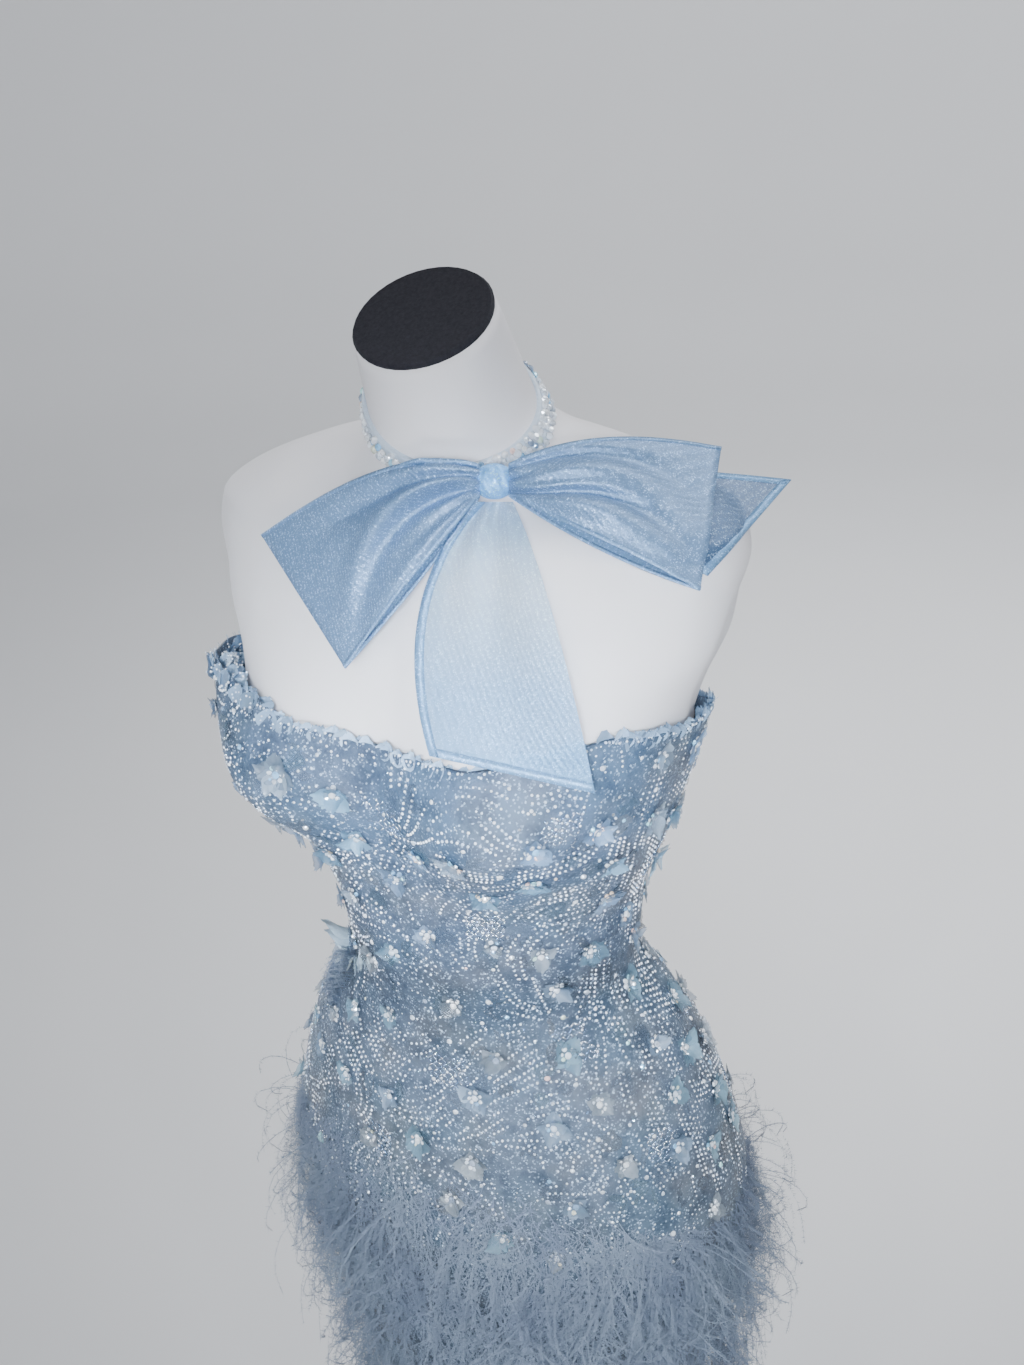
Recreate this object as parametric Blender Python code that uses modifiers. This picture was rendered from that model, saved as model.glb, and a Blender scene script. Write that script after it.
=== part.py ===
"""A strapless mermaid evening dress on a limbless dress form, in metres.

The dress faces -Y, the wearer's left is +X, and the form's round base stands on the floor at Z = 0.
Angles run round the body from +X, so 270 degrees is the centre front and 90 degrees the centre back.
"""

import math
import random
from collections import namedtuple
from functools import lru_cache

import bmesh
import bpy
from mathutils import Vector
from mathutils.bvhtree import BVHTree

COLLECTION = "mermaid_dress_on_form"

# The figure, from the knee to the top of the neck: one row a section, its plane leaning forward by a
# number of degrees. Front and back are depths from the Z axis, squareness is a superellipse's power, and
# middle is how far back of the axis the section is widest.
Section = namedtuple("Section", "height lean half_width front back squareness middle")
FIGURE = (
    Section(0.455, 0, 0.1280, 0.114, 0.122, 2.0, 0),
    Section(0.540, 0, 0.1340, 0.115, 0.124, 2.0, 0),
    Section(0.620, 0, 0.1480, 0.116, 0.126, 2.0, 0),
    Section(0.700, 0, 0.1640, 0.118, 0.129, 2.1, 0),
    Section(0.780, 0, 0.1770, 0.120, 0.131, 2.1, 0),
    Section(0.840, 0, 0.1800, 0.121, 0.129, 2.1, 0),
    Section(0.940, 0, 0.1555, 0.106, 0.111, 2.1, 0),
    Section(0.990, 0, 0.1290, 0.098, 0.091, 2.1, 0),
    Section(1.040, 0, 0.1015, 0.0945, 0.0755, 2.1, 0),
    Section(1.090, 0, 0.1030, 0.095, 0.078, 2.1, 0),
    Section(1.150, 0, 0.1230, 0.097, 0.090, 2.2, 0),
    Section(1.210, 0, 0.1430, 0.104, 0.101, 2.2, 0),
    Section(1.260, 0, 0.1570, 0.102, 0.104, 2.3, 0),
    Section(1.300, 0, 0.1740, 0.093, 0.102, 2.4, 0),
    Section(1.322, 2, 0.1790, 0.082, 0.096, 2.4, 0),
    Section(1.346, 5, 0.1830, 0.075, 0.090, 2.4, 0),
    Section(1.366, 9, 0.1800, 0.070, 0.083, 2.3, 0),
    Section(1.381, 13, 0.1440, 0.068, 0.076, 2.2, 0),
    Section(1.391, 17, 0.0930, 0.066, 0.064, 2.1, 0),
    Section(1.404, 23, 0.0620, 0.057, 0.052, 2.0, 0),
    Section(1.420, 28, 0.0525, 0.047, 0.041, 2.0, 0),
    Section(1.494, 33, 0.0445, 0.0555, 0.0105, 2.0, -0.023),
)
SHOULDER_ROW = 14
NECK_TOP_ROW = len(FIGURE) - 1

# The cups: how far the bust stands forward, and where
BUST_DEPTH = 0.044
BUST_HEIGHT = 1.212
BUST_ABOVE = 0.055
BUST_BELOW = 0.052
BUST_APART = 0.086
BUST_SPREAD = 0.065

# Columns run round from the wearer's right side seam. Panels meet with a gap of SEAM_ANGLE to each side.
COLUMNS = 40
COLUMN = math.radians(360 / COLUMNS)
FIRST_ANGLE = math.radians(171)
FRONT_COLUMNS = 22
BACK_COLUMNS = 9
SEAM_ANGLE = 0.0018
GAP = 0.0003
SHARP_EDGE = math.radians(50)

# Seeds of what differs by chance
APPLIQUE_SEED = 7
PETAL_SEED = 21
TUFT_SEED = 5

# The dress: its cloth, and how far it stands off the form. It sits closest at the waist.
CLOTH = 0.0022
DRESS_EASE = 0.0035
WAIST_EASE = 0.0006
WAIST_HEIGHT = 1.040
WAIST_REACH = 0.030
SKIRT_HEIGHTS = (0.455, 0.525, 0.595, 0.640, 0.685, 0.730, 0.775, 0.820, 0.865)
BODICE_HEIGHTS = (0.900, 0.935, 0.965, 0.990, 1.015, 1.040, 1.065, 1.090, 1.120)
DRESS_HEIGHTS = SKIRT_HEIGHTS + BODICE_HEIGHTS
UPPER_SHARES = (0.22, 0.44, 0.66, 0.87, 1.0)
FORM_BOTTOM = 0.790
CHEST_SHARES = (0.35, 0.70)
SHOULDER_HALF_STEPS = 9
CUP_GAPE = 0.015
CUP_GAPE_FROM = 1.170
CUP_GAPE_TO = 1.265
CUP_GAPE_ANGLE = math.radians(205)
CUP_GAPE_SPREAD = math.radians(32)
APPLIQUE_LOW = 0.0012
APPLIQUE_HIGH = 0.0050
APPLIQUE_SHARE = 0.38

# Neckline: the height of the cloth's top edge at each angle in degrees
Edge = namedtuple("Edge", "angle height")
NECKLINE = (
    Edge(8, 1.244),
    Edge(40, 1.224),
    Edge(90, 1.206),
    Edge(140, 1.224),
    Edge(172, 1.246),
    Edge(200, 1.262),
    Edge(220, 1.269),
    Edge(238, 1.267),
    Edge(256, 1.256),
    Edge(272, 1.250),
    Edge(290, 1.253),
    Edge(308, 1.262),
    Edge(324, 1.266),
    Edge(340, 1.260),
    Edge(352, 1.251),
)

# The flounce from the knee seam to the hem: how far it has left the knee's oval for a round ring, that
# ring's radius, and how deep its folds are
Tier = namedtuple("Tier", "height flare radius fold")
FLOUNCE = (
    Tier(SKIRT_HEIGHTS[0] - GAP, 0.0, 0.130, 0.000),
    Tier(0.390, 0.7, 0.152, 0.004),
    Tier(0.310, 1.0, 0.185, 0.008),
    Tier(0.220, 1.0, 0.236, 0.013),
    Tier(0.120, 1.0, 0.296, 0.018),
    Tier(0.055, 1.0, 0.334, 0.021),
    Tier(0.008, 1.0, 0.356, 0.023),
)
FLOUNCE_COLUMNS = 72
FLOUNCE_WAVES = 12
FOLD_SHARPNESS = 0.25
FLOUNCE_CLOTH = 0.0018

# Feather tiers: each hangs from a narrow strip whose top edge is one of the skirt's heights
FEATHER_ROWS = (8, 6, 4, 2)
STRIP_DEPTH = 0.012
STRIP_GAP = 0.0006
STRIP_THICK = 0.0018
LOCK_LENGTH = 0.150
LOCK_SHORTEST = 0.88
LOCK_SLANT = 0.07
Cut = namedtuple("Cut", "along out width thick")
LOCK = (
    Cut(0.30, 0.055, 0.0105, 0.0028),
    Cut(0.68, 0.165, 0.0085, 0.0024),
    Cut(1.00, 0.290, 0.0022, 0.0010),
)

# Petals along the neckline, longest where the cup stands away
PETAL = (
    Cut(0.50, 0.10, 0.0115, 0.0008),
    Cut(1.00, 0.28, 0.0042, 0.0006),
)
PETAL_STRIP_TOP = 0.97
PETAL_LENGTH = 0.010
PETAL_SHORTEST = 0.75
PETAL_EXTRA = 0.018
PETAL_TALLEST = math.radians(214)
PETAL_SPREAD = math.radians(17)
PETALS_UNDER_TAIL = (math.radians(284), math.radians(334))

# Frayed tuft at the wearer's right of the waist
TUFT_ROW = 14
TUFT_COLUMNS = range(3, 9)
TUFT = (
    Cut(0.45, 0.20, 0.0070, 0.0016),
    Cut(1.00, 0.50, 0.0018, 0.0008),
)
TUFT_LENGTH = 0.046
TUFT_SHORTEST = 0.7
TUFT_LIFT = 0.8

# Collar of crystals on a satin band, which lies higher at the wearer's right
COLLAR_FRONT = math.radians(265)
COLLAR_HEIGHT = 1.435
COLLAR_TILT = 0.017
COLLAR_WIDE = 0.0135
COLLAR_THICK = 0.0022
COLLAR_GAP = 0.0008
COLLAR_SHARES = (0.0, 0.34, 0.67, 1.0)
CRYSTAL_RAISE = 0.0024

# The bow, in a frame of its own: right and up across the bow, then out towards the one who looks at it
BOW_CENTRE = Vector((0.0536, -0.0463, 1.3968))
BOW_TURN = math.radians(33)
BOW_TIP = math.radians(27)
BOW_ROLL = math.radians(-4)
KNOT = Vector((0.023, 0.020, 0.015))
KNOT_OUT = 0.004
KNOT_ROUND = 0.004
BOW_CLOTH = 0.0012
BOW_REACH = 0.25
LOOP_CLEAR = 0.010
TAIL_CLEAR = 0.0042
Loop = namedtuple("Loop", "side high_start high_bend high_end low_start low_bend low_end crease tuck")
RIGHT_LOOP = Loop(
    "right",
    (-0.0121, 0.0085, 0.004),
    (-0.0560, 0.0230, -0.012),
    (-0.1420, -0.0200, -0.067),
    (-0.0121, -0.0085, 0.004),
    (-0.0330, -0.0470, 0.004),
    (-0.0870, -0.1025, -0.023),
    0.40,
    0.05,
)
LEFT_LOOP = Loop(
    "left",
    (0.0121, 0.0085, 0.004),
    (0.0560, 0.0320, -0.010),
    (0.1300, 0.0210, -0.0135),
    (0.0121, -0.0085, 0.006),
    (0.0540, -0.0460, 0.040),
    (0.1070, -0.0650, 0.0465),
    0.55,
    0.24,
)
LOOP_STEPS = 7
LOOP_ACROSS = 9
LOOP_BELLY = 0.016
LOOP_BACK = 0.0012
FOLD_HALF = 0.0016
GATHER = 0.0022
CREASE = 0.008
CREASE_WIDE = 0.16
SWELL_END = 0.97
SWELL_POWER = 0.8
TAIL_STEPS = 10
TAIL_ACROSS = 7
TAIL_GATHER = 0.0013
Tail = namedtuple("Tail", "high_start high_bend high_end low_start low_bend low_end")
FRONT_TAIL = Tail(
    (0.0105, -0.0109, 0.000),
    (0.0290, -0.0560, 0.036),
    (0.0530, -0.1730, 0.019),
    (-0.0105, -0.0109, 0.000),
    (-0.0560, -0.0700, -0.010),
    (-0.0374, -0.1520, 0.008),
)
SIDE_TAIL = Tail(
    (0.0136, 0.0050, -0.003),
    (0.0700, 0.0140, -0.014),
    (0.1720, 0.0036, -0.022),
    (0.0136, -0.0060, -0.003),
    (0.0600, -0.0280, 0.020),
    (0.1140, -0.0560, 0.031),
)

# The neck cap's rings: the height over the neck's top, and the share of its width
Ring = namedtuple("Ring", "rise share")
CAP_RINGS = (
    Ring(GAP, 0.985),
    Ring(0.0022, 0.995),
    Ring(0.0040, 0.965),
)

# The stand
POLE_RADIUS = 0.016
BASE_RADIUS = 0.150
BASE_TOP = 0.045
BASE_PROFILE = (
    (0.0, BASE_TOP),
    (0.026, BASE_TOP),
    (0.034, 0.036),
    (0.050, 0.030),
    (0.120, 0.020),
    (BASE_RADIUS - 0.004, 0.013),
    (BASE_RADIUS, 0.008),
    (BASE_RADIUS, 0.0),
    (0.0, 0.0),
)
BASE_STEPS = 28
POLE_SIDES = 20

# Colours, as red, green and blue
CANVAS = (0.78, 0.76, 0.72)
CAP_CLOTH = (0.035, 0.035, 0.042)
METAL = (0.42, 0.43, 0.45)
BEADED_TULLE = (0.42, 0.52, 0.66)
FLOUNCE_TULLE = (0.50, 0.60, 0.74)
FEATHER = (0.62, 0.70, 0.80)
ORGANZA = (0.46, 0.58, 0.74)
PETAL_ORGANZA = (0.55, 0.66, 0.82)
CRYSTAL = (0.72, 0.80, 0.90)


def clear_scene():
    for obj in list(bpy.data.objects):
        bpy.data.objects.remove(obj, do_unlink=True)


def finish(name, colour, roughness, metallic=0.0):
    """A plain material of one colour."""
    material = bpy.data.materials.new(name)
    material.use_nodes = True
    shader = material.node_tree.nodes["Principled BSDF"]
    shader.inputs["Base Color"].default_value = (*colour, 1.0)
    shader.inputs["Roughness"].default_value = roughness
    shader.inputs["Metallic"].default_value = metallic
    return material


def place(name, mesh, material, collection):
    """A smooth object of this mesh, in the dress's collection."""
    mesh.materials.append(material)
    mesh.shade_smooth()
    mesh.set_sharp_from_angle(angle=SHARP_EDGE)
    obj = bpy.data.objects.new(name, mesh)
    collection.objects.link(obj)
    return obj


def mesh_from(bm, name):
    """The mesh of a closed body, with its faces turned out."""
    bmesh.ops.recalc_face_normals(bm, faces=bm.faces)
    mesh = bpy.data.meshes.new(name)
    bm.to_mesh(mesh)
    bm.free()
    return mesh


def smooth_step(share):
    share = min(max(share, 0.0), 1.0)
    return share * share * (3 - 2 * share)


def monotone(values, position):
    """The value at a fractional row, on a smooth curve that never passes beyond the rows beside it."""
    last = len(values) - 1
    row = min(int(position), last - 1)
    share = position - row

    def slope(k):
        before = values[k] - values[k - 1] if k > 0 else values[1] - values[0]
        after = values[k + 1] - values[k] if k < last else values[last] - values[last - 1]
        if before * after <= 0:
            return 0.0
        return 2 * before * after / (before + after)

    rise = values[row + 1] - values[row]
    start = slope(row)
    end = slope(row + 1)
    curve = (start + end - 2 * rise) * share + 3 * rise - 2 * start - end
    return values[row] + (start + curve * share) * share


@lru_cache(maxsize=None)
def section_at(position):
    """The figure's section at a fractional row of its table."""
    return Section(*(monotone([row[k] for row in FIGURE], position) for k in range(len(Section._fields))))


@lru_cache(maxsize=None)
def row_at(height):
    """The fractional row whose section lies at this height."""
    low = 0.0
    high = float(NECK_TOP_ROW)
    for _ in range(40):
        middle = (low + high) / 2
        if section_at(middle).height < height:
            low = middle
        else:
            high = middle
    return (low + high) / 2


def bust(x, height, facing):
    """How far the cups stand forward of the section, at a place that faces front by 0 to 1."""
    spread = BUST_ABOVE if height > BUST_HEIGHT else BUST_BELOW
    level = math.exp(-(((height - BUST_HEIGHT) / spread) ** 2))
    aside = math.exp(-(((abs(x) - BUST_APART) / BUST_SPREAD) ** 2))
    return BUST_DEPTH * level * aside * min(1.0, 3 * facing)


def figure_point(position, angle, out=0.0):
    """A point of the figure's surface, moved out sideways."""
    section = section_at(position)
    across = math.cos(angle)
    along = math.sin(angle)
    power = 2 / section.squareness
    x = section.half_width * math.copysign(abs(across) ** power, across)
    depth = section.front + section.middle if along < 0 else section.back - section.middle
    y = section.middle + depth * math.copysign(abs(along) ** power, along)
    if along < 0:
        y -= bust(x, section.height, -along)
    grow = 1 + out / math.hypot(x, y)
    y *= grow
    return Vector((x * grow, y, section.height + y * math.tan(math.radians(section.lean))))


def figure_normal(position, angle):
    """The direction straight out of the figure's surface."""
    step = 0.02
    round_way = figure_point(position, angle + step) - figure_point(position, angle - step)
    high = figure_point(min(position + step, NECK_TOP_ROW), angle)
    up_way = high - figure_point(position - step, angle)
    return round_way.cross(up_way).normalized()


def angle_between(a, b):
    """The turn from b to a, between minus and plus half a circle."""
    return (a - b + math.pi) % (2 * math.pi) - math.pi


def neckline_height(angle):
    """The height of the cloth's top edge, on a smooth closed curve through the neckline's table."""
    degrees = math.degrees(angle) % 360
    for k, edge in enumerate(NECKLINE):
        following = NECKLINE[(k + 1) % len(NECKLINE)]
        span = (following.angle - edge.angle) % 360
        reach = (degrees - edge.angle) % 360
        if reach <= span:
            return edge.height + (following.height - edge.height) * smooth_step(reach / span)
    raise ValueError("the neckline's table leaves a gap")


def row_height(row, angle):
    """The height of one of the dress's rows at an angle: level up to the ribs, then up to the neckline."""
    if row < len(DRESS_HEIGHTS):
        return DRESS_HEIGHTS[row]
    share = UPPER_SHARES[row - len(DRESS_HEIGHTS)]
    level = DRESS_HEIGHTS[-1]
    return level + share * (neckline_height(angle) - level)


DRESS_ROWS = len(DRESS_HEIGHTS) + len(UPPER_SHARES)


def column_angle(column):
    return FIRST_ANGLE + column * COLUMN


def stand_off(height, angle):
    """The gap between the form and the cloth's inside.

    It all but closes at the waist, which carries the gown, and widens where the right cup gapes.
    """
    waist = math.exp(-(((height - WAIST_HEIGHT) / WAIST_REACH) ** 2))
    ease = DRESS_EASE + (WAIST_EASE - DRESS_EASE) * waist
    rise = smooth_step((height - CUP_GAPE_FROM) / (CUP_GAPE_TO - CUP_GAPE_FROM))
    turn = angle_between(angle, CUP_GAPE_ANGLE) / CUP_GAPE_SPREAD
    return ease + CUP_GAPE * rise * math.exp(-turn * turn)


def applique_heights():
    """How far the embroidered flowers and large crystals stand out at each row and column of the bodice."""
    chance = random.Random(APPLIQUE_SEED)
    raised = {}
    for row in range(len(SKIRT_HEIGHTS), DRESS_ROWS - 2):
        for column in range(COLUMNS):
            flower = chance.random() < APPLIQUE_SHARE
            share = chance.random()
            if abs(row - TUFT_ROW) < 2 and column in range(TUFT_COLUMNS[0], TUFT_COLUMNS[-1] + 2):
                continue
            raised[row, column] = APPLIQUE_LOW + (APPLIQUE_HIGH - APPLIQUE_LOW) * share * flower
    return raised


APPLIQUE = applique_heights()


def dress_point(row, angle, out=0.0):
    """A point of the dress's inside at a row, moved out sideways."""
    height = row_height(row, angle)
    return figure_point(row_at(round(height, 6)), angle, stand_off(height, angle) + out)


def outside_point(row, column, out=0.0):
    """A point of the plain outer face of the cloth."""
    return dress_point(row, column_angle(column), CLOTH + out)


def wall(name, outer, inner, closed, material, collection):
    """A closed body between two grids of points, as a ring or as an open panel."""
    bm = bmesh.new()
    grids = [[[bm.verts.new(point) for point in row] for row in grid] for grid in (outer, inner)]
    rows = len(outer)
    count = len(outer[0])
    steps = range(count if closed else count - 1)
    for grid in grids:
        for row in range(rows - 1):
            for k in steps:
                n = (k + 1) % count
                bm.faces.new((grid[row][k], grid[row][n], grid[row + 1][n], grid[row + 1][k]))
    out, ins = grids
    for row in (0, rows - 1):
        for k in steps:
            n = (k + 1) % count
            bm.faces.new((out[row][k], out[row][n], ins[row][n], ins[row][k]))
    if not closed:
        for k in (0, count - 1):
            for row in range(rows - 1):
                bm.faces.new((out[row][k], out[row + 1][k], ins[row + 1][k], ins[row][k]))
    return place(name, mesh_from(bm, name), material, collection)


def dress_panel(name, first, count, material, collection):
    """One panel of the dress between two seams, raised in its outer points where the applique lies."""
    outer = []
    inner = []
    for row in range(DRESS_ROWS):
        out_row = []
        in_row = []
        for k in range(count + 1):
            column = first + k
            angle = column_angle(column)
            if k == 0:
                angle += SEAM_ANGLE
            if k == count:
                angle -= SEAM_ANGLE
            raised = APPLIQUE.get((row, column % COLUMNS), 0.0)
            out_row.append(dress_point(row, angle, CLOTH + raised))
            in_row.append(dress_point(row, angle))
        outer.append(out_row)
        inner.append(in_row)
    return wall(name, outer, inner, False, material, collection)


def flounce_reach(tier, angle):
    """The flounce's reach: the dress's own oval at the knee seam, then a widening ring of folds."""
    knee = FIGURE[0]
    depth = knee.front if math.sin(angle) < 0 else knee.back
    oval = 1 / math.hypot(math.cos(angle) / knee.half_width, math.sin(angle) / depth) + DRESS_EASE
    turn = FLOUNCE_WAVES * angle
    ring = tier.radius + tier.fold * (math.cos(turn) + FOLD_SHARPNESS * math.cos(2 * turn))
    return oval + (ring - oval) * tier.flare


def flounce_panel(name, first, last, material, collection):
    """Half of the flounce, from side seam to side seam."""
    outer = []
    inner = []
    for tier in FLOUNCE:
        out_row = []
        in_row = []
        for k in range(first, last + 1):
            angle = 2 * math.pi * k / FLOUNCE_COLUMNS
            if k == first:
                angle += SEAM_ANGLE
            if k == last:
                angle -= SEAM_ANGLE
            reach = flounce_reach(tier, angle)
            way = Vector((math.cos(angle), math.sin(angle), 0))
            level = Vector((0, 0, tier.height))
            in_row.append(way * reach + level)
            out_row.append(way * (reach + FLOUNCE_CLOTH) + level)
        outer.append(out_row)
        inner.append(in_row)
    return wall(name, outer, inner, False, material, collection)


def fringe(name, strip, locks, closed, material, collection):
    """A narrow strip with locks grown from its root face.

    The strip is a list of sections, each the inner root, outer root, outer far and inner far points.
    A lock is a list of four-cornered cuts, set on the strip's root face after its column.
    """
    bm = bmesh.new()
    rings = [[bm.verts.new(point) for point in section] for section in strip]
    count = len(rings)
    for k in range(count if closed else count - 1):
        here = rings[k]
        there = rings[(k + 1) % count]
        for side in range(1, 4):
            n = (side + 1) % 4
            bm.faces.new((here[side], there[side], there[n], here[n]))
        loop = (here[0], there[0], there[1], here[1])
        for cut in locks.get(k, ()):
            corners = [bm.verts.new(point) for point in cut]
            for side in range(4):
                n = (side + 1) % 4
                bm.faces.new((loop[side], loop[n], corners[n], corners[side]))
            loop = corners
        bm.faces.new(loop)
    if not closed:
        bm.faces.new(rings[0])
        bm.faces.new(rings[-1])
    return place(name, mesh_from(bm, name), material, collection)


def lock_cuts(root, along, out, across, length, cuts):
    """The sections of one lock or petal from its root's middle."""
    sections = []
    for cut in cuts:
        centre = root + along * (length * cut.along) + out * (length * cut.out)
        wide = across * cut.width
        thick = out * cut.thick
        corners = (
            centre - wide - thick,
            centre + wide - thick,
            centre + wide + thick,
            centre - wide + thick,
        )
        sections.append(corners)
    return sections


def strip_sections(columns, low, high, root_low):
    """A strip's sections on the outer face of the cloth, from a low to a high point at each column."""
    sections = []
    for column in columns:
        bottom_in, bottom_out = low(column)
        top_in, top_out = high(column)
        if root_low:
            sections.append((bottom_in, bottom_out, top_out, top_in))
        else:
            sections.append((top_in, top_out, bottom_out, bottom_in))
    return sections


def between_rows(row, share, column):
    """The strip's inner and outer points on the straight of the cloth between a row and the one below it."""
    pair = []
    for out in (STRIP_GAP, STRIP_GAP + STRIP_THICK):
        upper = outside_point(row, column, out)
        lower = outside_point(row - 1, column, out)
        pair.append(lower.lerp(upper, share))
    return pair


def root_frame(strip, k):
    """The middle of a root face, the way out from the body and the way round it."""
    here = strip[k]
    there = strip[(k + 1) % len(strip)]
    root = (here[0] + here[1] + there[0] + there[1]) / 4
    across = (there[0] - here[0]).normalized()
    out = Vector((across.y, -across.x, 0)).normalized()
    return root, out, across


def feather_tier(number, row, material, collection):
    """A ring of feather locks that hang from a strip just under one of the skirt's rows."""
    span = SKIRT_HEIGHTS[row] - SKIRT_HEIGHTS[row - 1]
    strip = strip_sections(
        range(COLUMNS),
        lambda column: between_rows(row, 1 - STRIP_DEPTH / span, column),
        lambda column: between_rows(row, 1.0, column),
        True,
    )
    chance = random.Random(number)
    locks = {}
    for k in range(number % 2, COLUMNS, 2):
        root, out, across = root_frame(strip, k)
        length = LOCK_LENGTH * chance.uniform(LOCK_SHORTEST, 1.0)
        down = (Vector((0, 0, -1)) + across * chance.uniform(-LOCK_SLANT, LOCK_SLANT)).normalized()
        locks[k] = lock_cuts(root, down, out, across, length, LOCK)
    return fringe(f"feather_tier_{number}", strip, locks, True, material, collection)


def neckline_petals(material, collection):
    """Organza petals that stand up from a strip along the neckline, but not where the bow's tail lies."""
    top = DRESS_ROWS - 1
    strip = strip_sections(
        range(COLUMNS),
        lambda column: between_rows(top, 0.0, column),
        lambda column: between_rows(top, PETAL_STRIP_TOP, column),
        False,
    )
    chance = random.Random(PETAL_SEED)
    locks = {}
    for k in range(0, COLUMNS, 2):
        angle = column_angle(k + 0.5) % (2 * math.pi)
        if PETALS_UNDER_TAIL[0] < angle < PETALS_UNDER_TAIL[1]:
            continue
        root, out, across = root_frame(strip, k)
        turn = angle_between(angle, PETAL_TALLEST) / PETAL_SPREAD
        length = PETAL_LENGTH * chance.uniform(PETAL_SHORTEST, 1.0) + PETAL_EXTRA * math.exp(-turn * turn)
        locks[k] = lock_cuts(root, Vector((0, 0, 1)), out, across, length, PETAL)
    return fringe("neckline_petals", strip, locks, True, material, collection)


def hip_tuft(material, collection):
    """Frayed petals that spread up and out from the waist at the wearer's right."""
    span = DRESS_HEIGHTS[TUFT_ROW] - DRESS_HEIGHTS[TUFT_ROW - 1]
    columns = range(TUFT_COLUMNS[0], TUFT_COLUMNS[-1] + 1)
    strip = strip_sections(
        columns,
        lambda column: between_rows(TUFT_ROW, 1 - STRIP_DEPTH / span, column),
        lambda column: between_rows(TUFT_ROW, 1.0, column),
        False,
    )
    chance = random.Random(TUFT_SEED)
    locks = {}
    for k in range(len(strip) - 1):
        root, out, across = root_frame(strip, k)
        length = TUFT_LENGTH * chance.uniform(TUFT_SHORTEST, 1.0)
        locks[k] = lock_cuts(root, Vector((0, 0, TUFT_LIFT)), out, across, length, TUFT)
    return fringe("hip_tuft", strip, locks, False, material, collection)


def collar_position(share, angle):
    """The figure's fractional row at a share of the collar's width."""
    top = COLLAR_HEIGHT - COLLAR_TILT * math.sin(angle - COLLAR_FRONT)
    return row_at(round(top - COLLAR_WIDE * (1 - share), 6))


def collar_band(material, collection):
    """The satin band round the foot of the neck, with rows of crystals raised in its outer points."""
    outer = []
    inner = []
    for level, share in enumerate(COLLAR_SHARES):
        out_row = []
        in_row = []
        for column in range(COLUMNS):
            angle = column_angle(column)
            position = collar_position(share, angle)
            point = figure_point(position, angle)
            normal = figure_normal(position, angle)
            raised = CRYSTAL_RAISE * ((column + level) % 2)
            in_row.append(point + normal * COLLAR_GAP)
            out_row.append(point + normal * (COLLAR_GAP + COLLAR_THICK + raised))
        outer.append(out_row)
        inner.append(in_row)
    return wall("collar_band", outer, inner, True, material, collection)


def form_rows():
    """The form's rows: those of the dress, so that the cloth lies clear of it, then shoulders and neck."""
    rows = [lambda angle: row_at(FORM_BOTTOM)]
    for row in range(DRESS_ROWS):
        if row >= len(DRESS_HEIGHTS) or DRESS_HEIGHTS[row] > FORM_BOTTOM + 0.01:
            rows.append(lambda angle, row=row: row_at(round(row_height(row, angle), 6)))
    for share in CHEST_SHARES:
        rows.append(
            lambda angle, share=share: row_at(round(neckline_height(angle), 6)) * (1 - share)
            + SHOULDER_ROW * share
        )
    for half in range(SHOULDER_HALF_STEPS + 1):
        rows.append(lambda angle, half=half: SHOULDER_ROW + half / 2)
    neck_foot = SHOULDER_ROW + SHOULDER_HALF_STEPS / 2
    rows.append(lambda angle: (neck_foot + collar_position(0.0, angle)) / 2)
    for share in COLLAR_SHARES:
        rows.append(lambda angle, share=share: collar_position(share, angle))
    rows.append(lambda angle: (collar_position(1.0, angle) + NECK_TOP_ROW) / 2)
    rows.append(lambda angle: NECK_TOP_ROW)
    return rows


def form_body(material, collection):
    """The limbless torso, closed at its foot and at the top of the neck."""
    bm = bmesh.new()
    rings = []
    for position in form_rows():
        ring = []
        for column in range(COLUMNS):
            angle = column_angle(column)
            ring.append(bm.verts.new(figure_point(position(angle), angle)))
        rings.append(ring)
    for low, high in zip(rings, rings[1:]):
        for k in range(COLUMNS):
            n = (k + 1) % COLUMNS
            bm.faces.new((low[k], low[n], high[n], high[k]))
    bm.faces.new(rings[0])
    bm.faces.new(rings[-1])
    return place("form_body", mesh_from(bm, "form_body"), material, collection)


def neck_cap(material, collection):
    """The dark cloth disc that closes the top of the neck."""
    bm = bmesh.new()
    lean = math.radians(FIGURE[-1].lean)
    normal = Vector((0, -math.sin(lean), math.cos(lean)))
    points = [figure_point(NECK_TOP_ROW, column_angle(column)) for column in range(COLUMNS)]
    centre = sum(points, Vector()) / COLUMNS
    rings = []
    for edge in CAP_RINGS:
        ring = [bm.verts.new(centre.lerp(point, edge.share) + normal * edge.rise) for point in points]
        rings.append(ring)
    for low, high in zip(rings, rings[1:]):
        for k in range(COLUMNS):
            n = (k + 1) % COLUMNS
            bm.faces.new((low[k], low[n], high[n], high[k]))
    bm.faces.new(rings[0])
    bm.faces.new(rings[-1])
    return place("neck_cap", mesh_from(bm, "neck_cap"), material, collection)


def stand_pole(material, collection):
    """The pole between the base and the form."""
    length = FORM_BOTTOM - BASE_TOP - 2 * GAP
    bm = bmesh.new()
    bmesh.ops.create_cone(
        bm, cap_ends=True, segments=POLE_SIDES, radius1=POLE_RADIUS, radius2=POLE_RADIUS, depth=length
    )
    obj = place("stand_pole", mesh_from(bm, "stand_pole"), material, collection)
    obj.location.z = BASE_TOP + GAP + length / 2
    return obj


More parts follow.
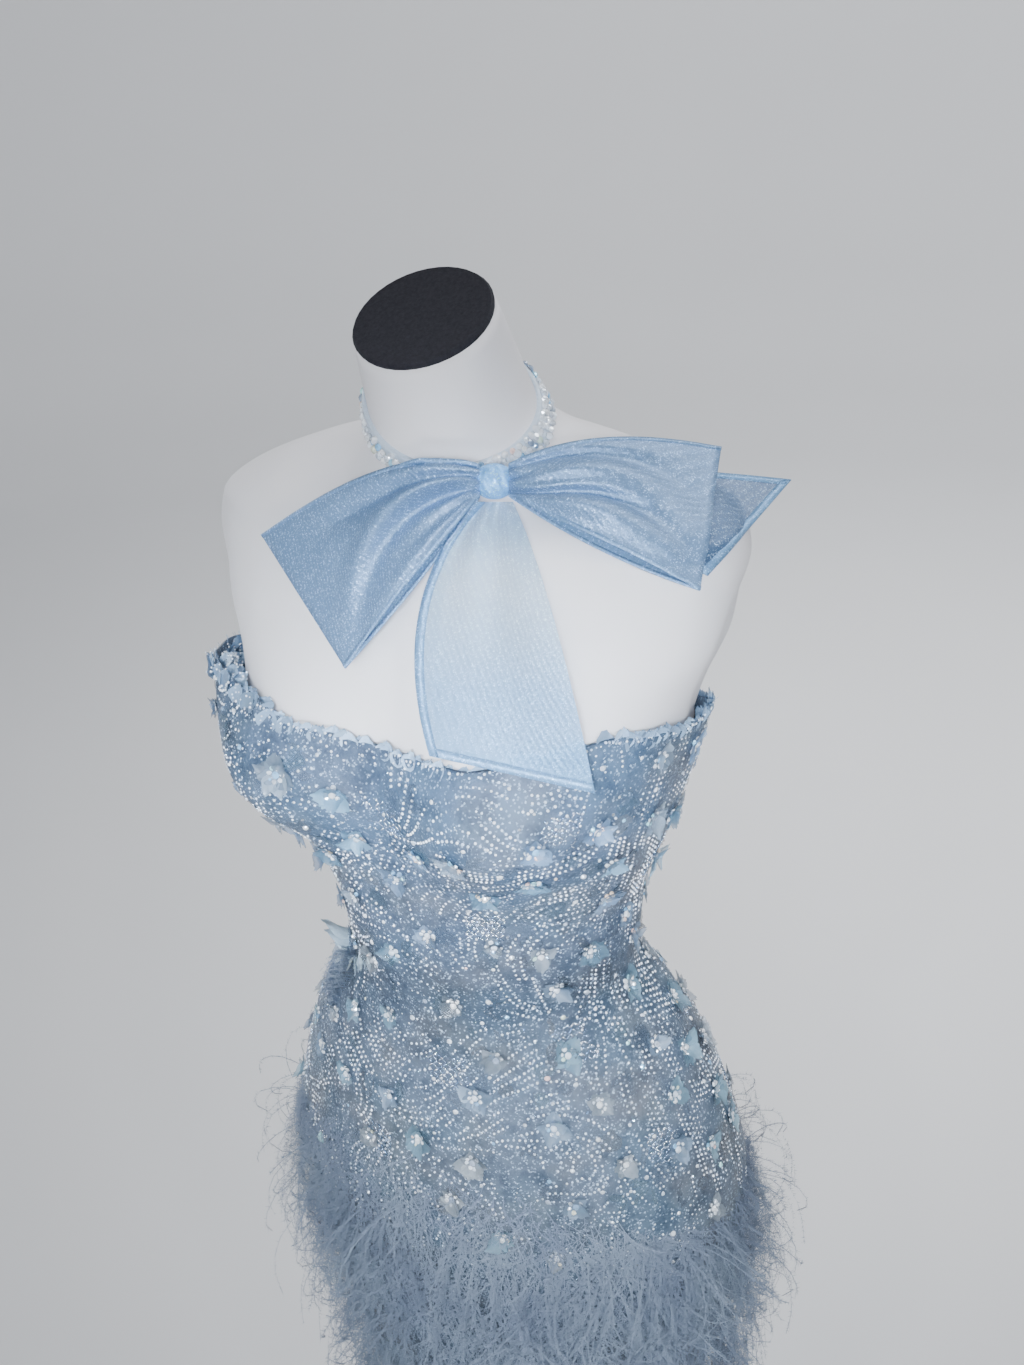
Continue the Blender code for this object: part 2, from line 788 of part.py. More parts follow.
def stand_base(material, collection):
    """The round base: a turned profile with a flat underside."""
    bm = bmesh.new()
    points = [bm.verts.new((x, 0, z)) for x, z in BASE_PROFILE]
    for a, b in zip(points, points[1:]):
        bm.edges.new((a, b))
    mesh = bpy.data.meshes.new("stand_base")
    bm.to_mesh(mesh)
    bm.free()
    obj = place("stand_base", mesh, material, collection)
    screw = obj.modifiers.new("Turn", "SCREW")
    screw.steps = BASE_STEPS
    screw.render_steps = BASE_STEPS
    screw.use_merge_vertices = True
    screw.merge_threshold = 0.0001
    return obj


def bow_axes():
    """The bow's right, up and out directions."""
    out = Vector(
        (
            math.sin(BOW_TURN) * math.cos(BOW_TIP),
            -math.cos(BOW_TURN) * math.cos(BOW_TIP),
            math.sin(BOW_TIP),
        )
    )
    level = Vector((math.cos(BOW_TURN), math.sin(BOW_TURN), 0))
    right = level * math.cos(BOW_ROLL) + out.cross(level) * math.sin(BOW_ROLL)
    return right, out.cross(right), out


BOW_RIGHT, BOW_UP, BOW_OUT = bow_axes()


def bow_place(spot):
    """A point of the bow's frame, as right, up and out, in the object's own frame."""
    return BOW_CENTRE + BOW_RIGHT * spot[0] + BOW_UP * spot[1] + BOW_OUT * spot[2]


def bend(start, middle, end, share):
    """A point on the arc that starts and ends at two points and leans towards a third."""
    a = Vector(start).lerp(Vector(middle), share)
    b = Vector(middle).lerp(Vector(end), share)
    return a.lerp(b, share)


def lifted(spot, carriers, clear):
    """A point of the bow's frame, raised where it would come nearer to what carries the bow than a gap."""
    start = bow_place((spot[0], spot[1], BOW_REACH))
    depth = spot[2]
    for carrier in carriers:
        place_hit, _, _, distance = carrier.ray_cast(start, -BOW_OUT)
        if place_hit is not None:
            depth = max(depth, BOW_REACH - distance + clear)
    return (spot[0], spot[1], depth)


def sheet(name, grid, material, collection):
    """A cloth sheet through a grid of points, thickened to both sides."""
    bm = bmesh.new()
    rows = [[bm.verts.new(point) for point in row] for row in grid]
    for low, high in zip(rows, rows[1:]):
        for k in range(len(low) - 1):
            bm.faces.new((low[k], low[k + 1], high[k + 1], high[k]))
    obj = place(name, mesh_from(bm, name), material, collection)
    solid = obj.modifiers.new("Cloth", "SOLIDIFY")
    solid.thickness = BOW_CLOTH
    solid.offset = 0.0
    return obj


def bow_loop(loop, carriers, material, collection):
    """A loop of wide ribbon: out from the knot in front, folded at its end, and back behind.

    The front layer's lower edge is tucked up, which shows the layer behind it.
    """
    grid = []
    steps = [(k / LOOP_STEPS, 1) for k in range(LOOP_STEPS + 1)]
    steps += [(k / LOOP_STEPS, -1) for k in range(LOOP_STEPS, -1, -1)]
    for share, layer in steps:
        high = bend(loop.high_start, loop.high_bend, loop.high_end, share)
        low = bend(loop.low_start, loop.low_bend, loop.low_end, share)
        if layer > 0:
            low = low.lerp(high, loop.tuck * math.sin(math.pi * share))
        row = []
        for k in range(LOOP_ACROSS):
            side = k / (LOOP_ACROSS - 1)
            spot = Vector(lifted(low.lerp(high, side), carriers, LOOP_CLEAR))
            swell = math.sin(math.pi * min(share, SWELL_END) ** SWELL_POWER)
            if layer > 0:
                trough = math.exp(-(((side - loop.crease) / CREASE_WIDE) ** 2))
                spot.z += FOLD_HALF + LOOP_BELLY * swell - CREASE * trough * swell
                spot.z += GATHER * (1 - share) ** 2 * math.cos(math.pi * k)
            else:
                spot.z -= FOLD_HALF + LOOP_BACK * swell
            row.append(bow_place(spot))
        grid.append(row)
    return sheet(f"bow_loop_{loop.side}", grid, material, collection)


def bow_tail(name, tail, carriers, material, collection):
    """A single layer of ribbon that leaves the knot and ends in a slanted cut."""
    grid = []
    for step in range(TAIL_STEPS + 1):
        share = step / TAIL_STEPS
        high = bend(tail.high_start, tail.high_bend, tail.high_end, share)
        low = bend(tail.low_start, tail.low_bend, tail.low_end, share)
        row = []
        for k in range(TAIL_ACROSS):
            side = k / (TAIL_ACROSS - 1)
            spot = Vector(lifted(low.lerp(high, side), carriers, TAIL_CLEAR))
            spot.z += TAIL_GATHER * (1 - share) ** 2 * math.cos(math.pi * k) * min(step, 1)
            row.append(bow_place(spot))
        grid.append(row)
    return sheet(name, grid, material, collection)


def bow_knot(material, collection):
    """The short band round the middle of the bow, a rounded block."""
    bm = bmesh.new()
    bmesh.ops.create_cube(bm, size=1.0)
    for vertex in bm.verts:
        spot = (
            vertex.co.x * KNOT.x,
            vertex.co.y * KNOT.y,
            vertex.co.z * KNOT.z + KNOT_OUT,
        )
        vertex.co = bow_place(spot)
    obj = place("bow_knot", mesh_from(bm, "bow_knot"), material, collection)
    round_off = obj.modifiers.new("Round", "BEVEL")
    round_off.width = KNOT_ROUND
    round_off.segments = 3
    return obj


def surface_of(obj):
    """A searchable copy of an object's surface. Its mesh is already in the object's own frame."""
    points = [vertex.co.copy() for vertex in obj.data.vertices]
    faces = [tuple(polygon.vertices) for polygon in obj.data.polygons]
    return BVHTree.FromPolygons(points, faces)


def main():
    clear_scene()
    collection = bpy.data.collections.new(COLLECTION)
    bpy.context.scene.collection.children.link(collection)

    canvas = finish("form_canvas", CANVAS, 0.75)
    cap = finish("cap_cloth", CAP_CLOTH, 0.85)
    metal = finish("stand_metal", METAL, 0.35, 0.9)
    tulle = finish("beaded_tulle", BEADED_TULLE, 0.45)
    flounce = finish("flounce_tulle", FLOUNCE_TULLE, 0.6)
    feather = finish("ostrich_feather", FEATHER, 0.8)
    petal = finish("petal_organza", PETAL_ORGANZA, 0.5)
    organza = finish("bow_organza", ORGANZA, 0.35)
    crystal = finish("crystal", CRYSTAL, 0.1, 0.2)

    form = form_body(canvas, collection)
    neck_cap(cap, collection)
    stand_pole(metal, collection)
    stand_base(metal, collection)

    front = dress_panel("dress_front", 0, FRONT_COLUMNS, tulle, collection)
    dress_panel("dress_back_left", FRONT_COLUMNS, BACK_COLUMNS, tulle, collection)
    dress_panel("dress_back_right", FRONT_COLUMNS + BACK_COLUMNS, BACK_COLUMNS, tulle, collection)
    half = FLOUNCE_COLUMNS // 2
    flounce_panel("flounce_back", 0, half, flounce, collection)
    flounce_panel("flounce_front", half, FLOUNCE_COLUMNS, flounce, collection)

    for number, row in enumerate(FEATHER_ROWS, start=1):
        feather_tier(number, row, feather, collection)
    petals = neckline_petals(petal, collection)
    hip_tuft(feather, collection)
    collar = collar_band(crystal, collection)

    bow_knot(organza, collection)
    under_bow = [surface_of(form), surface_of(collar)]
    bow_loop(RIGHT_LOOP, under_bow, organza, collection)
    bow_loop(LEFT_LOOP, under_bow, organza, collection)
    bow_tail("bow_tail_side", SIDE_TAIL, under_bow, organza, collection)
    under_tail = under_bow + [surface_of(front), surface_of(petals)]
    bow_tail("bow_tail_front", FRONT_TAIL, under_tail, organza, collection)


main()
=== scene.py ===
"""The finish of a beaded mermaid evening dress on its limbless dress form.

The gown faces -Y, the wearer's left is +X and the floor is Z = 0, in metres. Angles run round the body
from +X, so 270 degrees is the centre front. Every piece is laid on the same sections as the solid
that it stands for, so it sits where that solid sits.
"""

import math
from collections import namedtuple

import bpy
import numpy as np
from numpy.random import default_rng
from bpy.props import FloatProperty, FloatVectorProperty, IntProperty, PointerProperty
from mathutils import Matrix, Vector
from mathutils.bvhtree import BVHTree


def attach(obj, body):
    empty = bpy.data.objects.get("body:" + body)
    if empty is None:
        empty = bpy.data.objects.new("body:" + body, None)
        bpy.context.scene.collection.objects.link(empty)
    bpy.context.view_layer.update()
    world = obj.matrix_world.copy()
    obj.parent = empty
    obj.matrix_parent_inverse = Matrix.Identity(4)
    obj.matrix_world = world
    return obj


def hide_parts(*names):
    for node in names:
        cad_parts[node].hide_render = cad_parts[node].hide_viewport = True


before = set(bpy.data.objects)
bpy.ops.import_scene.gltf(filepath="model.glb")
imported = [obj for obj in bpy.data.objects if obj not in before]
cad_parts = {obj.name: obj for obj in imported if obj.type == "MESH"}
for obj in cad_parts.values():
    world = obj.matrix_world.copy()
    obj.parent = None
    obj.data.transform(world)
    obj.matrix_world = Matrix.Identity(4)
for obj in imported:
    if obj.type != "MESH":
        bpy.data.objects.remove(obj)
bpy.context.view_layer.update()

bl_info = {
    "name": "Beaded mermaid dress",
    "version": (1, 0, 0),
    "blender": (4, 5, 0),
    "location": "View3D > Sidebar > Dress",
    "description": "Finishes a beaded mermaid evening dress with feather tiers and a bow on its dress form",
    "category": "Add Mesh",
}

BODY = "root"
FULL_TURN = 2 * math.pi
UP = np.array((0.0, 0.0, 1.0))

# The figure, from the knee to the top of the neck, as in the part's source
Section = namedtuple("Section", "height lean half_width front back squareness middle")
FIGURE = (
    Section(0.455, 0, 0.1280, 0.114, 0.122, 2.0, 0),
    Section(0.540, 0, 0.1340, 0.115, 0.124, 2.0, 0),
    Section(0.620, 0, 0.1480, 0.116, 0.126, 2.0, 0),
    Section(0.700, 0, 0.1640, 0.118, 0.129, 2.1, 0),
    Section(0.780, 0, 0.1770, 0.120, 0.131, 2.1, 0),
    Section(0.840, 0, 0.1800, 0.121, 0.129, 2.1, 0),
    Section(0.940, 0, 0.1555, 0.106, 0.111, 2.1, 0),
    Section(0.990, 0, 0.1290, 0.098, 0.091, 2.1, 0),
    Section(1.040, 0, 0.1015, 0.0945, 0.0755, 2.1, 0),
    Section(1.090, 0, 0.1030, 0.095, 0.078, 2.1, 0),
    Section(1.150, 0, 0.1230, 0.097, 0.090, 2.2, 0),
    Section(1.210, 0, 0.1430, 0.104, 0.101, 2.2, 0),
    Section(1.260, 0, 0.1570, 0.102, 0.104, 2.3, 0),
    Section(1.300, 0, 0.1740, 0.093, 0.102, 2.4, 0),
    Section(1.322, 2, 0.1790, 0.082, 0.096, 2.4, 0),
    Section(1.346, 5, 0.1830, 0.075, 0.090, 2.4, 0),
    Section(1.366, 9, 0.1800, 0.070, 0.083, 2.3, 0),
    Section(1.381, 13, 0.1440, 0.068, 0.076, 2.2, 0),
    Section(1.391, 17, 0.0930, 0.066, 0.064, 2.1, 0),
    Section(1.404, 23, 0.0620, 0.057, 0.052, 2.0, 0),
    Section(1.420, 28, 0.0525, 0.047, 0.041, 2.0, 0),
    Section(1.494, 33, 0.0445, 0.0555, 0.0105, 2.0, -0.023),
)
LAST_ROW = len(FIGURE) - 1
BUST_DEPTH = 0.044
BUST_HEIGHT = 1.212
BUST_ABOVE = 0.055
BUST_BELOW = 0.052
BUST_APART = 0.086
BUST_SPREAD = 0.065

# The gown's cloth and how it stands off the form
CLOTH = 0.0022
DRESS_EASE = 0.0035
WAIST_EASE = 0.0006
WAIST_HEIGHT = 1.040
WAIST_REACH = 0.030
CUP_GAPE = 0.015
CUP_GAPE_FROM = 1.170
CUP_GAPE_TO = 1.265
CUP_GAPE_ANGLE = math.radians(205)
CUP_GAPE_SPREAD = math.radians(32)
KNEE = 0.455
FORM_BOTTOM = 0.790
SEAM_ANGLE = 0.0018
SIDE_RIGHT = math.radians(171)
SIDE_LEFT = math.radians(369)
CENTRE_BACK = math.radians(450)
CENTRE_FRONT = math.radians(270)
Edge = namedtuple("Edge", "angle height")
NECKLINE = (
    Edge(8, 1.244),
    Edge(40, 1.224),
    Edge(90, 1.206),
    Edge(140, 1.224),
    Edge(172, 1.246),
    Edge(200, 1.262),
    Edge(220, 1.269),
    Edge(238, 1.267),
    Edge(256, 1.256),
    Edge(272, 1.250),
    Edge(290, 1.253),
    Edge(308, 1.262),
    Edge(324, 1.266),
    Edge(340, 1.260),
    Edge(352, 1.251),
)
UNDER_TAIL = (math.radians(286), math.radians(330))
TAIL_COVER = 0.045
TAIL_END = (math.radians(289), math.radians(326))

# The flounce from the knee seam to the hem
Tier = namedtuple("Tier", "height flare radius fold")
FLOUNCE = (
    Tier(0.4547, 0.0, 0.130, 0.000),
    Tier(0.390, 0.7, 0.152, 0.004),
    Tier(0.310, 1.0, 0.185, 0.008),
    Tier(0.220, 1.0, 0.236, 0.013),
    Tier(0.120, 1.0, 0.296, 0.018),
    Tier(0.055, 1.0, 0.334, 0.021),
    Tier(0.008, 1.0, 0.356, 0.023),
)
FLOUNCE_WAVES = 12
FOLD_SHARPNESS = 0.25
FLOUNCE_CLOTH = 0.0018

# Feather tiers: the height of each tape's top edge
TAPES = (0.865, 0.775, 0.685, 0.595)

# Tuft at the wearer's right of the waist: the ends of its slanted row of roots
TUFT_FOOT = Edge(math.radians(203), 1.004)
TUFT_HEAD = Edge(math.radians(246), 1.066)
TUFT_LEAF = Edge(math.radians(212), 1.040)

# Collar
COLLAR_FRONT = math.radians(265)
COLLAR_HEIGHT = 1.435
COLLAR_TILT = 0.017
COLLAR_WIDE = 0.0135
COLLAR_GAP = 0.0008

# The bow, in a frame of its own: right and up across it, then out towards the one who looks at it
BOW_CENTRE = Vector((0.0536, -0.0463, 1.3968))
BOW_TURN = math.radians(33)
BOW_TIP = math.radians(27)
BOW_ROLL = math.radians(-4)
KNOT = (0.023, 0.020, 0.015)
KNOT_OUT = 0.004
BOW_REACH = 0.25
LOOP_CLEAR = 0.010
TAIL_CLEAR = 0.0042
LOOP_BELLY = 0.016
LOOP_BACK = 0.0012
FOLD_HALF = 0.0012
SWELL_END = 0.97
SWELL_POWER = 0.8
Crease = namedtuple("Crease", "side_start side_bend side_end width depth")
Loop = namedtuple("Loop", "side high_start high_bend high_end low_start low_bend low_end tuck creases")
LOOPS = (
    Loop(
        "right",
        (-0.0080, 0.0085, 0.005),
        (-0.0560, 0.0230, -0.012),
        (-0.1420, -0.0200, -0.067),
        (-0.0080, -0.0085, 0.005),
        (-0.0330, -0.0470, 0.004),
        (-0.0870, -0.1025, -0.023),
        0.05,
        (
            Crease(0.46, 1.02, 0.02, 0.070, 0.0095),
            Crease(0.28, 0.80, -0.12, 0.060, -0.0070),
            Crease(0.66, 0.84, 0.74, 0.050, -0.0060),
            Crease(0.80, 0.98, 0.95, 0.050, 0.0030),
            Crease(0.12, 0.18, -0.05, 0.060, 0.0045),
        ),
    ),
    Loop(
        "left",
        (0.0080, 0.0085, 0.005),
        (0.0560, 0.0320, -0.010),
        (0.1300, 0.0210, -0.0135),
        (0.0080, -0.0085, 0.006),
        (0.0540, -0.0460, 0.040),
        (0.1070, -0.0650, 0.0465),
        0.06,
        (
            Crease(0.12, 0.74, 0.10, 0.045, -0.0100),
            Crease(0.02, 0.50, 0.00, 0.110, 0.0095),
            Crease(0.40, 0.98, 0.34, 0.080, 0.0050),
            Crease(0.80, 1.00, 0.52, 0.050, -0.0050),
            Crease(0.95, 0.86, 0.90, 0.050, 0.0030),
        ),
    ),
)
Tail = namedtuple("Tail", "side high_start high_bend high_end low_start low_bend low_end")
TAILS = (
    Tail(
        "front",
        (0.0105, -0.0109, 0.000),
        (0.0290, -0.0560, 0.036),
        (0.0530, -0.1730, 0.019),
        (-0.0105, -0.0109, 0.000),
        (-0.0620, -0.0660, -0.010),
        (-0.0374, -0.1520, 0.008),
    ),
    Tail(
        "side",
        (0.0136, 0.0050, -0.003),
        (0.0700, 0.0140, -0.014),
        (0.1720, 0.0036, -0.022),
        (0.0136, -0.0060, -0.003),
        (0.0600, -0.0280, 0.020),
        (0.1140, -0.0560, 0.031),
    ),
)


class FormSettings(bpy.types.PropertyGroup):
    """What a user would change on the dress form."""

    canvas: FloatVectorProperty(
        name="Canvas", description="Colour of the form's cover", subtype="COLOR", default=(0.85, 0.84, 0.87)
    )
    cap: FloatVectorProperty(
        name="Neck cap", description="Colour of the cloth on the neck", subtype="COLOR",
        default=(0.016, 0.016, 0.021),
    )
    metal: FloatVectorProperty(
        name="Stand", description="Colour of the pole and the base", subtype="COLOR",
        default=(0.42, 0.43, 0.45),
    )
    plate_depth: FloatProperty(
        name="Arm plate", description="How deep the flat plate at each arm lies",
        default=0.004, unit="LENGTH",
    )


class GownSettings(bpy.types.PropertyGroup):
    """What a user would change on the gown."""

    tulle: FloatVectorProperty(
        name="Tulle", description="Darkest colour of the ground", subtype="COLOR",
        default=(0.036, 0.060, 0.102),
    )
    haze: FloatVectorProperty(
        name="Haze", description="Lighter colour in the ground", subtype="COLOR",
        default=(0.088, 0.130, 0.200),
    )
    petal: FloatVectorProperty(
        name="Petals", description="Colour of the organza petals", subtype="COLOR",
        default=(0.190, 0.290, 0.430),
    )
    feather: FloatVectorProperty(
        name="Feathers", description="Colour of the ostrich feathers", subtype="COLOR",
        default=(0.215, 0.272, 0.355),
    )
    pearl_radius: FloatProperty(
        name="Pearls", description="Radius of a small pearl", default=0.00100, unit="LENGTH"
    )
    pearl_spacing: FloatProperty(
        name="Pearl spacing", description="Distance between the pearls of a string",
        default=0.0038, unit="LENGTH",
    )
    strings: IntProperty(name="Strings", description="Strings of pearls that are tried", default=3400)
    stone_radius: FloatProperty(
        name="Stones", description="Radius of a small cut stone", default=0.0020, unit="LENGTH"
    )
    crystals: IntProperty(
        name="Stone count", description="Single small stones sewn over the gown", default=260
    )
    crystal_radius: FloatProperty(
        name="Crystals", description="Radius of a large crystal", default=0.0046, unit="LENGTH"
    )
    large_crystals: IntProperty(name="Crystal count", description="Large crystals in claw cups", default=26)
    sequins: IntProperty(name="Sequins", description="Sequins and seed beads that are tried", default=2200)
    flowers: IntProperty(name="Flowers", description="Organza flowers that are tried", default=900)
    petal_length: FloatProperty(
        name="Petal length", description="Length of a flower's petal", default=0.0126, unit="LENGTH"
    )
    barbs: IntProperty(
        name="Barbs", description="Feather barbs in the mass of the first tier", default=1750
    )


class BowSettings(bpy.types.PropertyGroup):
    """What a user would change on the collar and the bow."""

    organza: FloatVectorProperty(
        name="Organza", description="Colour of the bow", subtype="COLOR", default=(0.148, 0.270, 0.475)
    )
    satin: FloatVectorProperty(
        name="Satin", description="Colour of the collar's band", subtype="COLOR", default=(0.52, 0.62, 0.74)
    )
    sheer: FloatProperty(
        name="Sheer", description="How much of a tail's single layer is seen", subtype="FACTOR",
        default=0.50,
    )
    hem: FloatProperty(
        name="Hem", description="Width of the bow's narrow hems", default=0.0024, unit="LENGTH"
    )
    stone: FloatProperty(
        name="Collar stones", description="Radius of a stone on the collar", default=0.0027, unit="LENGTH"
    )


class StageSettings(bpy.types.PropertyGroup):
    """What a user would change on the stage."""

    floor: FloatVectorProperty(
        name="Floor", description="Colour of the floor", subtype="COLOR", default=(0.84, 0.85, 0.87)
    )
    turn: FloatProperty(
        name="Turn", description="How far round the camera stands", subtype="ANGLE",
        default=math.radians(33.65),
    )
    away: FloatProperty(
        name="Away", description="The camera's distance from the form's axis", default=0.754, unit="LENGTH"
    )
    height: FloatProperty(name="Height", description="The camera's height", default=1.616, unit="LENGTH")
    aside: FloatProperty(
        name="Aside", description="How far it looks past the axis", subtype="ANGLE",
        default=math.radians(-1.74),
    )
    down: FloatProperty(
        name="Down", description="How far it looks down", subtype="ANGLE", default=math.radians(26.7)
    )
    roll: FloatProperty(
        name="Roll", description="How far it is rolled", subtype="ANGLE", default=math.radians(-4.16)
    )
    lens: FloatProperty(
        name="Lens", description="Focal length in millimetres on a 36 mm sensor", default=33.5
    )


def unit(ways):
    """The same directions at length one."""
    return ways / np.maximum(np.linalg.norm(ways, axis=-1, keepdims=True), 1e-12)


def smooth_step(share):
    """A share held between 0 and 1 and eased at both ends."""
    share = np.clip(share, 0.0, 1.0)
    return share * share * (3 - 2 * share)


def angle_between(a, b):
    """The turn from b to a, between minus and plus half a circle."""
    return (a - b + math.pi) % FULL_TURN - math.pi


def turns_of(count):
    """Angles spaced evenly round a circle."""
    return np.arange(count) * FULL_TURN / count


def monotone(values, position):
    """The value at a fractional row, on a smooth curve that never passes beyond the rows beside it."""
    last = len(values) - 1
    row = min(int(position), last - 1)
    share = position - row

    def slope(k):
        before = values[k] - values[k - 1] if k > 0 else values[1] - values[0]
        after = values[k + 1] - values[k] if k < last else values[last] - values[last - 1]
        if before * after <= 0:
            return 0.0
        return 2 * before * after / (before + after)

    rise = values[row + 1] - values[row]
    start = slope(row)
    end = slope(row + 1)
    curve = (start + end - 2 * rise) * share + 3 * rise - 2 * start - end
    return values[row] + (start + curve * share) * share


STEPS_A_ROW = 60
POSITIONS = np.linspace(0, LAST_ROW, LAST_ROW * STEPS_A_ROW + 1)
SAMPLED = [np.array([monotone(column, p) for p in POSITIONS]) for column in zip(*FIGURE)]


def position_of(height):
    """The figure's fractional row at a height."""
    return np.interp(height, SAMPLED[0], POSITIONS)


def bust(x, height, facing):
    """How far the cups stand forward of the section."""
    spread = np.where(height > BUST_HEIGHT, BUST_ABOVE, BUST_BELOW)
    level = np.exp(-(((height - BUST_HEIGHT) / spread) ** 2))
    aside = np.exp(-(((np.abs(x) - BUST_APART) / BUST_SPREAD) ** 2))
    return BUST_DEPTH * level * aside * np.clip(3 * facing, 0, 1)


def figure(position, angle, out=0.0):
    """Points of the figure's surface at fractional rows and angles, moved out sideways."""
    height, lean, wide, front, back, square, middle = (np.interp(position, POSITIONS, row) for row in SAMPLED)
    across = np.cos(angle)
    along = np.sin(angle)
    x = wide * np.sign(across) * np.abs(across) ** (2 / square)
    depth = np.where(along < 0, front + middle, back - middle)
    y = middle + depth * np.sign(along) * np.abs(along) ** (2 / square) - bust(x, height, -along)
    grow = 1 + out / np.hypot(x, y)
    y = y * grow
    return np.stack((x * grow, y, height + y * np.tan(np.radians(lean))), axis=-1)


def neckline(angle):
    """The height of the cloth's top edge, on a smooth closed curve through the neckline's table."""
    angles = np.array([edge.angle for edge in NECKLINE] + [NECKLINE[0].angle + 360])
    heights = np.array([edge.height for edge in NECKLINE] + [NECKLINE[0].height])
    degrees = (np.degrees(angle) - angles[0]) % 360 + angles[0]
    k = np.clip(np.searchsorted(angles, degrees, side="right") - 1, 0, len(NECKLINE) - 1)
    share = (degrees - angles[k]) / (angles[k + 1] - angles[k])
    return heights[k] + (heights[k + 1] - heights[k]) * smooth_step(share)


def stand_off(height, angle):
    """The gap between the form and the cloth's inside."""
    waist = np.exp(-(((height - WAIST_HEIGHT) / WAIST_REACH) ** 2))
    ease = DRESS_EASE + (WAIST_EASE - DRESS_EASE) * waist
    rise = smooth_step((height - CUP_GAPE_FROM) / (CUP_GAPE_TO - CUP_GAPE_FROM))
    turn = angle_between(angle, CUP_GAPE_ANGLE) / CUP_GAPE_SPREAD
    return ease + CUP_GAPE * rise * np.exp(-turn * turn)


def cloth(height, angle, out=0.0):
    """Points on the outer face of the gown, moved out by a little."""
    return figure(position_of(height), angle, stand_off(height, angle) + CLOTH + out)


def frames_of(across, rise):
    """A surface's frames, as ways round it, up it and out of it, from steps across it and up it."""
    round_way = unit(across)
    out_way = unit(np.cross(round_way, rise))
    return np.stack((round_way, np.cross(out_way, round_way), out_way), axis=-2)


def cloth_frame(height, angle, out=0.0):
    """Points on the gown, each with its frame."""
    small_turn = 0.004
    small_rise = 0.001
    spots = cloth(height, angle, out)
    across = cloth(height, angle + small_turn, out) - cloth(height, angle - small_turn, out)
    rise = cloth(height + small_rise, angle, out) - cloth(height - small_rise, angle, out)
    return spots, frames_of(across, rise)


def spun(ways, turn, tip=0.0, roll=0.0):
    """The same frames spun about their out way, then tipped up at the far end, then rolled sideways."""
    turn, tip, roll = (np.asarray(value)[..., None] for value in (turn, tip, roll))
    right, up, out = ways[..., 0, :], ways[..., 1, :], ways[..., 2, :]
    right, up = right * np.cos(turn) + up * np.sin(turn), up * np.cos(turn) - right * np.sin(turn)
    up, out = up * np.cos(tip) + out * np.sin(tip), out * np.cos(tip) - up * np.sin(tip)
    right, out = right * np.cos(roll) + out * np.sin(roll), out * np.cos(roll) - right * np.sin(roll)
    return np.stack((right, up, out), axis=-2)


Waves = namedtuple("Waves", "seed columns rows")


def random_waves(waves, angle, share):
    """Smooth random waves from minus to plus one over angles and shares of a height."""
    seed, columns, rows = waves
    grid = default_rng(seed).uniform(-1, 1, (rows + 1, columns))
    u = (np.asarray(angle) / FULL_TURN * columns) % columns
    v = np.clip(share, 0, 0.9999) * rows
    column = u.astype(int) % columns
    row = v.astype(int)
    a = smooth_step(u - np.floor(u))
    b = smooth_step(v - row)
    following = (column + 1) % columns
    low = grid[row, column] * (1 - a) + grid[row, following] * a
    high = grid[row + 1, column] * (1 - a) + grid[row + 1, following] * a
    return low * (1 - b) + high * b


Shape = namedtuple("Shape", "points faces")


def grid_faces(rows, columns, closed=False):
    """The four-cornered faces between the points of a grid, as an array."""
    index = np.arange(rows * columns).reshape(rows, columns)
    if closed:
        index = np.concatenate((index, index[:, :1]), axis=1)
    corners = (index[:-1, :-1], index[:-1, 1:], index[1:, 1:], index[1:, :-1])
    return np.stack(corners, axis=-1).reshape(-1, 4)


def fan(first, count, tip):
    """Triangles from a ring of points to one more point."""
    ring = first + np.arange(count)
    return np.stack((ring, np.roll(ring, -1), np.full(count, tip)), axis=-1)


def circle(sides, radius, level, turned=0.0):
    """A level ring of points."""
    turn = turns_of(sides) + turned
    return np.stack((radius * np.cos(turn), radius * np.sin(turn), np.full(sides, level)), axis=-1)


SEAT = 0.35
STONE_FOOT = 0.75
SEQUIN_CUP = (0.45, 0.20)
BUGLE_SEAT = 0.9
CLAW_PROFILE = ((1.22, -0.2), (1.16, 0.34), (1.00, 0.42), (0.96, 0.30))


def bead(sides, climbs):
    """A round bead sewn down at its foot: rings at these climbs in degrees, and a top."""
    rings = [circle(sides, math.cos(climb), math.sin(climb) + SEAT) for climb in np.radians(climbs)]
    points = np.concatenate(rings + [np.array([[0, 0, 1 + SEAT]])])
    top = len(points) - 1
    return Shape(points, [grid_faces(len(climbs), sides, True), fan(top - sides, sides, top)])


def stone(sides, table=0.52, crown=0.50):
    """A cut crystal: a foot, a girdle turned by half a step from its table, and flat facets between."""
    foot_ring = circle(sides, STONE_FOOT, -SEAT)
    girdle = circle(sides, 1.0, 0.0)
    top = circle(sides, table, crown, math.pi / sides)
    k = np.arange(sides)
    n = (k + 1) % sides
    sides_up = np.stack((k + sides, n + sides, k + 2 * sides), axis=-1)
    sides_down = np.stack((n + sides, n + 2 * sides, k + 2 * sides), axis=-1)
    flat_top = (k + 2 * sides)[None, :]
    points = np.concatenate((foot_ring, girdle, top)) + np.array((0, 0, SEAT))
    return Shape(points, [grid_faces(2, sides, True), sides_up, sides_down, flat_top])


def sequin(sides):
    """A cupped disc."""
    rim, middle = SEQUIN_CUP
    return Shape(np.concatenate((circle(sides, 1.0, rim), [[0, 0, middle]])), [fan(0, sides, sides)])


def bugle(sides, length):
    """A short glass tube, lying down, with closed ends."""
    ends = [circle(sides, 1.0, along * length / 2)[:, [0, 2, 1]] for along in (-1, 1)]
    points = np.concatenate(ends) + np.array((0, 0, BUGLE_SEAT))
    faces = grid_faces(2, sides, True)[:, ::-1]
    ring = np.arange(sides)
    return Shape(points, [faces, ring[None, :], (ring[::-1] + sides)[None, :]])


